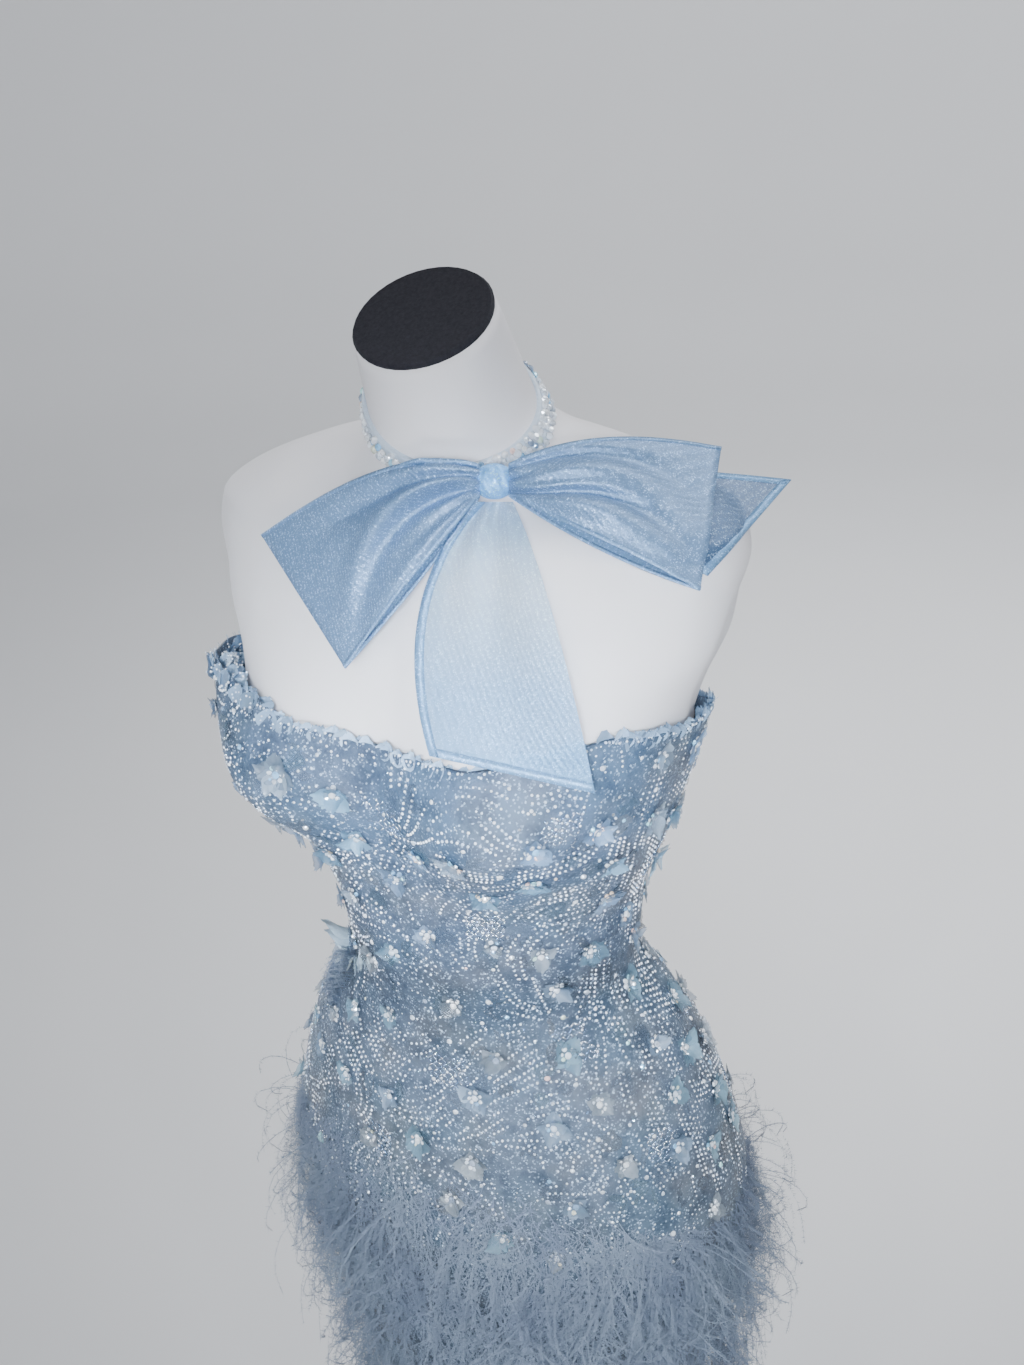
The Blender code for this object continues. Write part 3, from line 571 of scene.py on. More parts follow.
def claw_ring(sides):
    """The low metal cup that holds a large crystal."""
    rings = [circle(sides, radius, level) for radius, level in CLAW_PROFILE]
    return Shape(np.concatenate(rings), [grid_faces(len(CLAW_PROFILE), sides, True)])


PEARL = bead(6, (-15, 35))
SEED_BEAD = bead(5, (-10, 40))
PETAL_ACROSS = 6
PETAL_ALONG = 6


def petal(seed, wide=0.42, cup=0.30, lift=0.22, curl=0.25, frayed=0.10, point=0.0):
    """A petal of length one along Y that rises from its root, cupped, curled and frayed at its far edge."""
    chance = default_rng(seed)
    u = np.linspace(-1, 1, PETAL_ACROSS)[None, :]
    t = np.linspace(0, 1, PETAL_ALONG)[:, None]
    profile = np.sin(math.pi * (0.10 + 0.78 * t ** 0.9)) * (1 - point * t) + 0.04
    fray = frayed * chance.uniform(-1, 1, (PETAL_ALONG, PETAL_ACROSS)) * t ** 3
    ruffle = 0.06 * np.sin(2.6 * math.pi * u + chance.uniform(0, 6)) * t
    x = wide * profile * u * (1 + 0.5 * fray)
    y = t * (1 - 0.12 * u * u) + fray
    z = lift * t + curl * t * t + cup * wide * profile * u * u * np.sin(math.pi * t) + ruffle * wide
    points = np.stack((x, y + 0 * u, z + 0 * u), axis=-1).reshape(-1, 3)
    return Shape(points, [grid_faces(PETAL_ALONG, PETAL_ACROSS)])


def copies(shape, spots, ways, sizes):
    """Points and faces of a shape set down at every spot, turned by its frame and sized."""
    sizes = np.asarray(sizes, float)
    if sizes.ndim < 2:
        sizes = np.broadcast_to(sizes.reshape(-1, 1), (len(spots), 3))
    local = shape.points[None] * sizes[:, None, :]
    points = np.einsum("nkj,njd->nkd", local, ways) + spots[:, None, :]
    starts = (np.arange(len(spots)) * len(shape.points))[:, None, None]
    faces = [(group[None] + starts).reshape(-1, group.shape[1]) for group in shape.faces]
    return points.reshape(-1, 3), faces


def new_object(name, data):
    """A new object in the scene."""
    obj = bpy.data.objects.new(name, data)
    bpy.context.scene.collection.objects.link(obj)
    return obj


class Pile:
    """Points and faces gathered for one joined mesh."""

    def __init__(self):
        self.points = []
        self.faces = []
        self.normals = []
        self.count = 0

    def add(self, points, faces, normals=None):
        """Adds points with their faces and, if they have any, their normals."""
        points = points.reshape(-1, 3)
        for group in faces:
            self.faces.extend((group + self.count).tolist())
        self.points.append(points)
        if normals is not None:
            self.normals.append(normals.reshape(-1, 3))
        self.count += len(points)

    def set_down(self, shape, spots, ways, sizes):
        """Adds a copy of a shape at every spot."""
        self.add(*copies(shape, spots, ways, sizes))

    def piece(self, name, material, slot, stands_for=(), smooth=True):
        """The joined mesh as a named piece that rides with the form."""
        mesh = bpy.data.meshes.new(name)
        mesh.from_pydata(np.concatenate(self.points).tolist(), [], self.faces)
        mesh.materials.append(material)
        if smooth:
            mesh.shade_smooth()
        if self.normals:
            mesh.normals_split_custom_set_from_vertices(np.concatenate(self.normals).tolist())
        obj = new_object(name, mesh)
        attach(obj, BODY)
        if stands_for:
            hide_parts(*stands_for)
        return obj


def sheet_piece(name, grid, material, slot, stands_for):
    """A sheet of cloth through a grid of points."""
    pile = Pile()
    pile.add(grid, [grid_faces(*grid.shape[:2])])
    obj = pile.piece(name, material, slot, stands_for)
    return obj


def tree_of(name, colour, roughness, **sockets):
    """A Principled material, with the values that are the same all over it on its own sockets."""
    material = bpy.data.materials.new(name)
    material.use_nodes = True
    shader = material.node_tree.nodes["Principled BSDF"]
    shader.inputs["Base Color"].default_value = (*colour, 1.0)
    shader.inputs["Roughness"].default_value = roughness
    for socket, value in sockets.items():
        shader.inputs[socket.replace("_", " ")].default_value = value
    return material


def add_node(material, kind, links=None, **values):
    """A node with its settings, its sockets' values and its links, as name to value or output."""
    tree = material.node_tree
    node = tree.nodes.new(kind)
    for key, value in values.items():
        setattr(node, key, value)
    for socket, value in (links or {}).items():
        if isinstance(value, bpy.types.NodeSocket):
            tree.links.new(value, node.inputs[socket])
        else:
            node.inputs[socket].default_value = value
    return node


def wire(material, **outputs):
    """Wires outputs to the shader's sockets, with _ for a space in their names."""
    shader = material.node_tree.nodes["Principled BSDF"]
    for socket, output in outputs.items():
        material.node_tree.links.new(output, shader.inputs[socket.replace("_", " ")])


def object_place(material):
    """Where a point lies on the object."""
    return add_node(material, "ShaderNodeTexCoord").outputs["Object"]


def level_between(material, low, high):
    """How far up a point lies from one height to another, from 0 to 1."""
    split = add_node(material, "ShaderNodeSeparateXYZ", {"Vector": object_place(material)})
    links = {"Value": split.outputs["Z"], "From Min": low, "From Max": high}
    return add_node(material, "ShaderNodeMapRange", links).outputs["Result"]


def noise(material, scale, detail=4.0, roughness=0.6, stretch=(1, 1, 1)):
    """Soft noise over the object, stretched along its axes."""
    mapping = add_node(material, "ShaderNodeMapping", {"Vector": object_place(material), "Scale": stretch})
    links = {"Vector": mapping.outputs["Vector"], "Scale": scale, "Detail": detail, "Roughness": roughness}
    return add_node(material, "ShaderNodeTexNoise", links).outputs["Fac"]


def cells(material, scale):
    """A random colour in each small cell of the object's space."""
    links = {"Vector": object_place(material), "Scale": scale}
    return add_node(material, "ShaderNodeTexVoronoi", links).outputs["Color"]


def ramp(material, factor, stops):
    """A colour for a factor, through stops of a place and a colour."""
    node = add_node(material, "ShaderNodeValToRGB", {"Fac": factor})
    for k, (place, colour) in enumerate(stops):
        element = node.color_ramp.elements[k] if k < 2 else node.color_ramp.elements.new(place)
        element.position = place
        element.color = (*colour, 1.0)
    return node.outputs["Color"]


def blended(material, blend, first, second):
    """Two colours multiplied or added."""
    links = {"Factor": 1.0, 6: first, 7: second}
    return add_node(material, "ShaderNodeMix", links, data_type="RGBA", blend_type=blend).outputs[2]


def bump(material, height, distance, strength, normal=None):
    """A normal that follows a height, over another normal if one is given."""
    links = {"Height": height, "Distance": distance, "Strength": strength}
    if normal is not None:
        links["Normal"] = normal
    return add_node(material, "ShaderNodeBump", links).outputs["Normal"]


def vector_math(material, operation, links):
    """The result of one operation on vectors."""
    return add_node(material, "ShaderNodeVectorMath", links, operation=operation).outputs[0]


def facets(material, scale, tilt):
    """A normal that leans another way in each small cell, which glints like glitter."""
    spread = vector_math(material, "SUBTRACT", {0: cells(material, scale), 1: (0.5, 0.5, 0.5)})
    lean = vector_math(material, "SCALE", {0: spread, "Scale": tilt})
    plain = add_node(material, "ShaderNodeNewGeometry").outputs["Normal"]
    return vector_math(material, "NORMALIZE", {0: vector_math(material, "ADD", {0: plain, 1: lean})})


def each_island(material, stops):
    """A colour for each loose piece of a joined mesh."""
    geometry = add_node(material, "ShaderNodeNewGeometry")
    return ramp(material, geometry.outputs["Random Per Island"], stops)


def tinted(colour, shares):
    """The same colour with each channel taken by its own share."""
    return tuple(min(1.0, value * share) for value, share in zip(colour, shares))


def shade(colour, share):
    """The same colour, darker or lighter by a share."""
    return tinted(colour, (share, share, share))


# Tints of the finishes, most of them stops of a place and a colour
WHITE = (1.0, 1.0, 1.0)
BLACK = (0.0, 0.0, 0.0)
PETAL_TINTS = (
    ("blue", WHITE),
    ("teal", (0.88, 1.06, 1.00)),
    ("beige", (1.25, 1.04, 0.88)),
)
TINTED_HEIGHTS = (0.90, 1.20)
# Tints by height, and painted shade that darkens the waist below the bust
HEIGHT_TINTS_AND_WAIST_SHADE = (
    (0.00, (1.10, 1.02, 0.93)),
    (0.28, (1.00, 0.96, 0.91)),
    (0.50, (0.56, 0.55, 0.54)),
    (0.72, (0.86, 0.88, 0.90)),
    (1.00, (0.96, 1.04, 1.10)),
)
WARM_CLOUDS = ((0.46, WHITE), (0.66, (1.24, 1.02, 0.88)))
COOL_CLOUDS = ((0.40, (0.90, 1.01, 1.03)), (0.56, WHITE))
# Painted glints: bright specks added to the tulle's colour in a share of small cells
TULLE_PAINTED_GLINTS = ((0.74, BLACK), (0.92, (0.30, 0.40, 0.52)))
TULLE_GRAIN = 900.0
PEARL_TINTS = (
    (0.0, (0.40, 0.52, 0.68)),
    (0.35, (0.74, 0.83, 0.95)),
    (0.8, (0.92, 0.95, 1.00)),
    (1.0, (0.58, 0.72, 0.92)),
)
# Painted sparkle: each stone painted clear, silver or dark, a few with a coloured flash
CRYSTAL_PAINTED_SPARKLE = (
    (0.00, (0.92, 0.96, 1.00)),
    (0.45, (0.70, 0.80, 0.92)),
    (0.66, (0.96, 0.98, 1.00)),
    (0.82, (0.25, 0.34, 0.48)),
    (0.90, (0.30, 0.64, 0.98)),
    (0.94, (0.50, 0.90, 0.88)),
    (0.97, (0.98, 0.84, 0.62)),
    (0.99, (0.98, 0.70, 0.66)),
)
SEQUIN_TINTS = (
    (0.0, (0.20, 0.30, 0.44)),
    (0.4, (0.45, 0.58, 0.74)),
    (0.8, (0.90, 0.94, 1.0)),
    (1.0, (0.30, 0.50, 0.80)),
)
PETAL_THREADS = ((0.3, (0.80, 0.84, 0.88)), (0.7, WHITE))
PETAL_SHADE = 0.62
PETAL_LIGHT = (1.55, 1.45, 1.35)
FEATHER_CLOUDS = ((0.35, (0.78, 0.78, 0.84)), (0.68, WHITE))
# Painted glints of the organza, and the lines of the weave that they follow
ORGANZA_PAINTED_GLINTS = ((0.66, BLACK), (0.86, (0.36, 0.48, 0.60)))
ORGANZA_GLINT_LINES = ((0.25, (0.45, 0.45, 0.45)), (0.85, WHITE))
ORGANZA_GRAIN = 1650.0
ORGANZA_SLANT = (0.6, 0.4, math.radians(38))
SHEER_HEIGHTS = (1.25, 1.39)
SHEER_TINTS = (
    (0.0, (0.30, 0.40, 0.50)),
    (0.35, (0.44, 0.55, 0.66)),
    (0.72, WHITE),
    (1.0, (0.7, 0.8, 0.85)),
)
SHEER_DENSITY = ((0.0, 1.60), (0.35, 1.32), (0.72, 0.78), (1.0, 1.3))


def canvas_finish(colour):
    """Matt canvas with faint patches and a fine grain."""
    material = tree_of("form_canvas", colour, 0.72, Specular_IOR_Level=0.3)
    patches = noise(material, 9.0, 3.0)
    grain = noise(material, 1400.0, 2.0, 0.8)
    wire(
        material,
        Base_Color=ramp(material, patches, ((0.3, shade(colour, 0.95)), (0.7, colour))),
        Normal=bump(material, grain, 0.0004, 0.25),
    )
    return material


def cap_finish(colour):
    """Dark fuzzy cloth."""
    material = tree_of("cap_cloth", colour, 0.80, Specular_IOR_Level=0.2)
    fuzz = noise(material, 420.0, 5.0, 0.75)
    wire(
        material,
        Base_Color=ramp(material, fuzz, ((0.3, colour), (0.75, shade(colour, 2.0)))),
        Normal=bump(material, fuzz, 0.0006, 0.5),
    )
    return material


def metal_finish(colour):
    """Metal brushed along its height."""
    material = tree_of("stand_metal", colour, 0.34, Metallic=0.9)
    brushed = noise(material, 60.0, 6.0, 0.7, (1, 1, 24))
    links = {"Value": brushed, "To Min": 0.26, "To Max": 0.44}
    wire(
        material,
        Roughness=add_node(material, "ShaderNodeMapRange", links).outputs["Result"],
        Normal=bump(material, brushed, 0.0002, 0.3),
    )
    return material


def by_height_with_waist_shade(material, ground):
    """The same colour, bluer at the bust and warmer at the hips, with painted shade that darkens it at the
    waist.
    """
    tint = ramp(material, level_between(material, *TINTED_HEIGHTS), HEIGHT_TINTS_AND_WAIST_SHADE)
    return blended(material, "MULTIPLY", ground, tint)


def tulle_finish(dark, light):
    """Embroidered tulle: a mottled blue-grey ground with warm and teal clouds, small stitches, and glints
    painted into its colour.
    """
    material = tree_of("beaded_tulle", light, 0.5, Specular_IOR_Level=0.4)
    mottle = noise(material, 55.0, 5.0, 0.7)
    ground = ramp(material, mottle, ((0.32, dark), (0.55, light), (0.78, shade(light, 1.18))))
    warm = ramp(material, noise(material, 19.0, 2.0, 0.5), WARM_CLOUDS)
    cool = ramp(material, noise(material, 17.0, 2.0, 0.5, (1, 1, 1.3)), COOL_CLOUDS)
    ground = blended(material, "MULTIPLY", blended(material, "MULTIPLY", ground, warm), cool)
    # Painted glints, added to the colour in small cells
    glints = ramp(material, cells(material, TULLE_GRAIN), TULLE_PAINTED_GLINTS)
    stitches = noise(material, 380.0, 4.0, 0.7)
    wire(
        material,
        Base_Color=blended(material, "ADD", by_height_with_waist_shade(material, ground), glints),
        Normal=bump(material, stitches, 0.0012, 0.6, facets(material, TULLE_GRAIN, 0.30)),
    )
    return material


def flounce_finish(dark, light):
    """Soft layered tulle, with a fine net and painted shade of its folds in darker upright streaks."""
    material = tree_of("layered_tulle", light, 0.62, Sheen_Weight=0.5)
    # Painted shade: darker upright streaks that stand for the shade of the folds
    clouds = noise(material, 12.0, 4.0, 0.6, (1, 1, 0.35))
    links = {"Vector": object_place(material), "Scale": 620.0}
    net = add_node(material, "ShaderNodeTexVoronoi", links, feature="DISTANCE_TO_EDGE")
    wire(
        material,
        Base_Color=ramp(material, clouds, ((0.3, dark), (0.7, light))),
        Normal=bump(material, net.outputs["Distance"], 0.0008, 0.6),
    )
    return material


def pearl_finish():
    """Glossy pearls in pale and deeper blues."""
    material = tree_of("pearl", (0.66, 0.76, 0.90), 0.16, Coat_Weight=0.7, Coat_Roughness=0.06)
    wire(material, Base_Color=each_island(material, PEARL_TINTS))
    return material


def crystal_finish(name, roughness):
    """Foil-backed crystal with painted sparkle: clear, silver and dark facets, a few with a blue, teal, gold
    or rose flash.
    """
    colour = (0.85, 0.90, 0.96)
    material = tree_of(name, colour, roughness, Metallic=0.20, Coat_Weight=1.0, Coat_Roughness=0.03)
    wire(material, Base_Color=each_island(material, CRYSTAL_PAINTED_SPARKLE))
    return material


def sequin_finish():
    """Shiny foil in silver and blues."""
    material = tree_of("sequin", (0.70, 0.80, 0.92), 0.14, Metallic=0.75)
    wire(material, Base_Color=each_island(material, SEQUIN_TINTS))
    return material


def silver_finish():
    """Polished silver with faint marks."""
    material = tree_of("silver_cups", (0.72, 0.75, 0.80), 0.22, Metallic=1.0)
    wire(material, Normal=bump(material, noise(material, 500.0, 3.0), 0.0002, 0.3))
    return material


def petal_finish(name, colour, alpha):
    """Crisp see-through organza with fine threads, each petal a little different."""
    material = tree_of(name, colour, 0.42, Specular_IOR_Level=0.4, Alpha=alpha)
    threads = noise(material, 260.0, 4.0, 0.7)
    tint = ramp(material, threads, PETAL_THREADS)
    stops = ((0.0, shade(colour, PETAL_SHADE)), (0.5, colour), (1.0, tinted(colour, PETAL_LIGHT)))
    ground = blended(material, "MULTIPLY", each_island(material, stops), tint)
    wire(
        material,
        Base_Color=by_height_with_waist_shade(material, ground),
        Normal=bump(material, threads, 0.0005, 0.5, facets(material, 1500.0, 0.25)),
    )
    return material


def feather_finish(name, colour):
    """Soft barbs, lighter and darker in clouds."""
    material = tree_of(name, colour, 0.85, Specular_IOR_Level=0.2)
    hue = each_island(material, ((0.0, shade(colour, 0.88)), (0.5, colour), (1.0, shade(colour, 1.16))))
    fluff = ramp(material, noise(material, 17.0, 3.0, 0.5), FEATHER_CLOUDS)
    wire(material, Base_Color=blended(material, "MULTIPLY", hue, fluff))
    return material


def organza_finish(name, colour, alpha):
    """Glitter organza: fine slanted lines with glints painted into its colour along them."""
    material = tree_of(name, colour, 0.42, Metallic=0.30, Alpha=alpha)
    links = {"Vector": object_place(material), "Rotation": ORGANZA_SLANT}
    turned = add_node(material, "ShaderNodeMapping", links)
    links = {"Vector": turned.outputs["Vector"], "Scale": 135.0, "Distortion": 1.6}
    links.update({"Detail": 2.0, "Detail Scale": 4.0})
    weave = add_node(material, "ShaderNodeTexWave", links).outputs["Fac"]
    # Painted glints: bright specks added to the colour along the weave's lines
    glints = ramp(material, cells(material, ORGANZA_GRAIN), ORGANZA_PAINTED_GLINTS)
    lines = ramp(material, weave, ORGANZA_GLINT_LINES)
    ground = ramp(material, weave, ((0.2, shade(colour, 0.95)), (0.8, shade(colour, 1.04))))
    painted_sparkle = blended(material, "MULTIPLY", glints, lines)
    wire(
        material,
        Base_Color=blended(material, "ADD", ground, painted_sparkle),
        Normal=bump(material, weave, 0.0003, 0.4, facets(material, ORGANZA_GRAIN, 0.38)),
    )
    return material


def sheer_finish(name, colour, alpha):
    """A single layer of the organza, denser to the eye at its low end and close under the knot."""
    material = organza_finish(name, colour, alpha)
    level = level_between(material, *SHEER_HEIGHTS)
    # The organza's colour, its painted glints included
    ground = material.node_tree.nodes["Principled BSDF"].inputs["Base Color"].links[0].from_socket
    density = [(place, 3 * (min(1.0, alpha * share),)) for place, share in SHEER_DENSITY]
    wire(
        material,
        Base_Color=blended(material, "MULTIPLY", ground, ramp(material, level, SHEER_TINTS)),
        Alpha=ramp(material, level, density),
    )
    return material


def satin_finish(colour):
    """Satin with fine threads."""
    material = tree_of("satin_band", colour, 0.30, Sheen_Weight=0.2, Anisotropic=0.4)
    threads = noise(material, 300.0, 3.0, 0.6, (1, 1, 6))
    wire(
        material,
        Base_Color=ramp(material, threads, ((0.3, shade(colour, 0.85)), (0.7, colour))),
        Normal=bump(material, threads, 0.0003, 0.3),
    )
    return material


FORM_ROWS = 150
FORM_COLUMNS = 120
PLATE_HEIGHT = 1.285
PLATE_BACK = 0.030
PLATE_HALF_DEEP = 0.046
PLATE_HALF_TALL = 0.066
PLATE_EDGE = 0.22
PLATE_FROM = 0.08


def form_skin(settings):
    """The form's canvas cover, on finer sections, with a flat plate let in at each arm."""
    levels = np.linspace(float(position_of(FORM_BOTTOM)), LAST_ROW, FORM_ROWS)[:, None]
    turns = turns_of(FORM_COLUMNS)[None, :]
    points = figure(levels, turns)
    deep = (points[..., 1] - PLATE_BACK) / PLATE_HALF_DEEP
    tall = (points[..., 2] - PLATE_HEIGHT) / PLATE_HALF_TALL
    inside = smooth_step((1 - np.hypot(deep, tall)) / PLATE_EDGE)
    plate = settings.plate_depth * inside * (np.abs(points[..., 0]) > PLATE_FROM)
    points[..., 0] -= np.sign(points[..., 0]) * plate
    pile = Pile()
    foot = points[0].mean(axis=0)
    head = points[-1].mean(axis=0)
    count = FORM_ROWS * FORM_COLUMNS
    faces = [
        grid_faces(FORM_ROWS, FORM_COLUMNS, True),
        fan(0, FORM_COLUMNS, count)[:, ::-1],
        fan(count - FORM_COLUMNS, FORM_COLUMNS, count + 1),
    ]
    pile.add(np.concatenate((points.reshape(-1, 3), [foot, head])), faces)
    pile.piece("form_cover", canvas_finish(settings.canvas), "canvas", ["form_body"])


def finish_nodes(names, material):
    """Gives solids that are kept as they are their material."""
    for name in names:
        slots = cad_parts[name].data.materials
        slots.clear()
        slots.append(material)


PANEL_ROWS = 132
TURNED_IN = 0.010
RELIEF = 0.0009
RELIEF_TOP = 1.27
PUCKER = 0.0006
SWELL_WAVES = Waves(11, 34, 26)
PUCKER_WAVES = Waves(12, 110, 90)
LIP_RISE = 0.0004
LIP_GAP = 0.0002


def relief(height, angle):
    """The low swell and small puckers of the embroidery."""
    share = (height - KNEE) / (RELIEF_TOP - KNEE)
    swell = random_waves(SWELL_WAVES, angle, share)
    pucker = random_waves(PUCKER_WAVES, angle, share)
    return RELIEF * (1 + swell) + PUCKER * (1 + pucker)


def panel_grid(first, last, columns):
    """A panel's outer face from the knee to the neckline, then a narrow edge turned in over its top."""
    angle = np.linspace(first + SEAM_ANGLE, last - SEAM_ANGLE, columns + 1)[None, :]
    share = np.linspace(0, 1, PANEL_ROWS + 1)[:, None]
    top = neckline(angle)
    height = KNEE + (top - KNEE) * share
    face = cloth(height, angle, relief(height, angle))
    lip = cloth(top + LIP_RISE + 0 * angle, angle, -CLOTH / 2)
    inside = cloth(top - TURNED_IN + 0 * angle, angle, -CLOTH - LIP_GAP)
    return np.concatenate((face, lip, inside))


def gown_panels(settings):
    """The front and the two backs, each cut from knee to neckline."""
    material = tulle_finish(settings.tulle, settings.haze)
    panels = (
        ("front_panel", SIDE_RIGHT, SIDE_LEFT, 122, "dress_front"),
        ("back_panel_left", SIDE_LEFT, CENTRE_BACK, 50, "dress_back_left"),
        ("back_panel_right", CENTRE_BACK, SIDE_RIGHT + FULL_TURN, 50, "dress_back_right"),
    )
    for name, first, last, columns, node in panels:
        grid = panel_grid(first, last, columns)
        sheet_piece(name, grid, material, "beaded_tulle", [node])


FLOUNCE_ROWS = 46
FLOUNCE_COLUMNS = 216
RIPPLE = 0.0035
RIPPLES = 36
HEM_TURN = 0.018
HEM_CLOTH = 0.0016
HEM_ROWS = 3
HEM_ROWS_HEIGHT = 0.045
# Shares of the haze for the flounce: the first is for its painted fold shade
FLOUNCE_FOLD_SHADE = 1.40
FLOUNCE_LIGHT = 2.10


def flounce_grid(first, last):
    """Half of the flounce, with fine ripples between its folds and a turned hem."""
    angle = np.linspace(first + SEAM_ANGLE, last - SEAM_ANGLE, FLOUNCE_COLUMNS + 1)[None, :]
    rows = np.linspace(0, len(FLOUNCE) - 1, FLOUNCE_ROWS + 1)
    height, flare, radius, fold = (
        np.array([monotone(column, row) for row in rows])[:, None] for column in zip(*FLOUNCE)
    )
    knee = FIGURE[0]
    depth = np.where(np.sin(angle) < 0, knee.front, knee.back)
    oval = 1 / np.hypot(np.cos(angle) / knee.half_width, np.sin(angle) / depth) + DRESS_EASE
    turn = FLOUNCE_WAVES * angle
    ring = radius + fold * (np.cos(turn) + FOLD_SHARPNESS * np.cos(2 * turn))
    share = (rows / rows[-1])[:, None]
    ring = ring + RIPPLE * share ** 2 * np.sin(RIPPLES * angle + 2.2 * share + 1.3 * np.sin(5 * angle))
    reach = oval + (ring - oval) * flare + FLOUNCE_CLOTH
    grid = np.stack((np.cos(angle) * reach, np.sin(angle) * reach, height + 0 * angle), axis=-1)
    inward = np.array((np.cos(angle[0]), np.sin(angle[0]), 0 * angle[0])).T * HEM_CLOTH
    turned = grid[-1] - inward
    hem = turned + (grid[-1 - HEM_ROWS] - grid[-1]) * HEM_TURN / HEM_ROWS_HEIGHT - inward
    return np.concatenate((grid, turned[None], hem[None]))[::-1]


def flounce(settings):
    """The two halves of the flounce."""
    material = flounce_finish(shade(settings.haze, FLOUNCE_FOLD_SHADE), shade(settings.haze, FLOUNCE_LIGHT))
    for node, first, last in (("flounce_back", 0.0, math.pi), ("flounce_front", math.pi, FULL_TURN)):
        grid = flounce_grid(first, last)
        sheet_piece(f"{node}_half", grid, material, "flounce_tulle", [node])


BEADS_LOW = 0.800
BEADS_FADE = 0.930
LEAST_GIRTH = 0.095
GIRTH_HEIGHTS = np.linspace(0.70, 1.30, 61)
GIRTH_TURNS = np.linspace(0, FULL_TURN, 48, endpoint=False)
GIRTH_RINGS = cloth(GIRTH_HEIGHTS[:, None], GIRTH_TURNS[None, :])
GIRTHS = np.hypot(GIRTH_RINGS[..., 0], GIRTH_RINGS[..., 1]).mean(axis=1)
EDGE_TURNS = np.linspace(0, FULL_TURN, 361)
EDGES = neckline(EDGE_TURNS)


def girth(height):
    """The gown's mean radius at a height."""
    return float(np.interp(height, GIRTH_HEIGHTS, GIRTHS))


def edge_at(angle):
    """The neckline's height, read from its own curve."""
    return float(np.interp(angle % FULL_TURN, EDGE_TURNS, EDGES))


class Spacing:
    """Keeps what is sewn on apart, measured over the gown."""

    def __init__(self, apart):
        self.apart = apart
        self.columns = int(FULL_TURN * LEAST_GIRTH / apart)
        self.cells = {}

    def key(self, height, angle):
        """The cell that a place lies in."""
        return int((angle % FULL_TURN) / FULL_TURN * self.columns), int(height / self.apart)

    def near(self, height, angle):
        """Whether something already lies nearer than this."""
        reach = self.apart ** 2
        radius = girth(height)
        column, row = self.key(height, angle)
        for i in (column - 1, column, column + 1):
            for j in (row - 1, row, row + 1):
                for other_height, other_angle in self.cells.get((i % self.columns, j), ()):
                    across = angle_between(angle, other_angle) * radius
                    if across * across + (other_height - height) ** 2 < reach:
                        return True
        return False

    def take(self, height, angle):
        """Marks a place as taken."""
        self.cells.setdefault(self.key(height, angle), []).append((height, angle))


TUFT_MIDDLE = Edge(TUFT_LEAF.angle + 0.04, TUFT_LEAF.height - 0.030)
TUFT_HALF_TURN = 0.30
TUFT_HALF_HEIGHT = 0.034


def in_tuft(height, angle):
    """Whether the tuft's plumes lie over this place."""
    across = angle_between(angle, TUFT_MIDDLE.angle) / TUFT_HALF_TURN
    rise = (height - TUFT_MIDDLE.height) / TUFT_HALF_HEIGHT
    return across * across + rise * rise < 1


def under_tail(height, angle):
    """Whether the bow's front tail lies over this place."""
    turn = angle % FULL_TURN
    return UNDER_TAIL[0] < turn < UNDER_TAIL[1] and height > edge_at(turn) - TAIL_COVER


# Layouts of what is strewn over the gown: it thins out below a height and may leave the bow's tail clear
Layout = namedtuple("Layout", "seed low high apart thin_below clear_tail")
FLOWER_LAYOUT = Layout(61, 0.845, 1.250, 0.031, 0.955, True)
PATCH_LAYOUT = Layout(67, 0.82, 1.256, 0.0165, 0.93, True)
SMALL_STONES = Layout(42, 0.83, 1.258, 0.015, 0.95, False)
LARGE_STONES = Layout(43, 0.855, 1.240, 0.047, 0.95, True)
SEQUIN_LAYOUT = Layout(52, BEADS_LOW, 1.264, 0.0052, BEADS_FADE, False)
NET_LAYOUT = Layout(53, 0.90, 1.22, 0.085, 0.0, False)
STREWN_UNDER_EDGE = 0.004


def strewn(layout, tries, taken=()):
    """Heights and angles strewn over the gown by a layout, and clear of places taken before."""
    seed, low, high, apart, thin_below, clear_tail = layout
    chance = default_rng(seed)
    spacing = Spacing(apart)
    for height, angle in taken:
        spacing.take(height, angle)
    places = []
    for _ in range(tries):
        angle = chance.uniform(0, FULL_TURN)
        height = chance.uniform(low, high)
        keep = chance.uniform()
        if height > edge_at(angle) - STREWN_UNDER_EDGE:
            continue
        if height < thin_below and keep > (height - low) / (thin_below - low):
            continue
        if in_tuft(height, angle) or (clear_tail and under_tail(height, angle)):
            continue
        if not spacing.near(height, angle):
            spacing.take(height, angle)
            places.append((height, angle))
    return np.array(places)


def flower_places(settings):
    """Where the flowers are sewn on, the fewer the lower."""
    return strewn(FLOWER_LAYOUT, settings.flowers)


FLOW_HEIGHTS = np.linspace(BEADS_LOW, 1.28, 160)
FLOW_TURNS = np.linspace(0, FULL_TURN, 240, endpoint=False)
FLOW_WAVES = Waves(14, 13, 9)
SIDE_CALM = 0.96
SIDE_BLEND = 0.22
SWIRL = 2.6


def flow_field():
    """The headings of the strings over the gown: up it at the side seams, and in swirls between them."""
    share = ((FLOW_HEIGHTS - BEADS_LOW) / (FLOW_HEIGHTS[-1] - BEADS_LOW))[:, None]
    waves = random_waves(FLOW_WAVES, FLOW_TURNS[None, :] + 0 * share, share + 0 * FLOW_TURNS[None, :])
    calm = smooth_step((SIDE_CALM - np.abs(np.cos(FLOW_TURNS))) / SIDE_BLEND)[None, :]
    return math.pi / 2 + SWIRL * waves * calm


FLOW = flow_field()


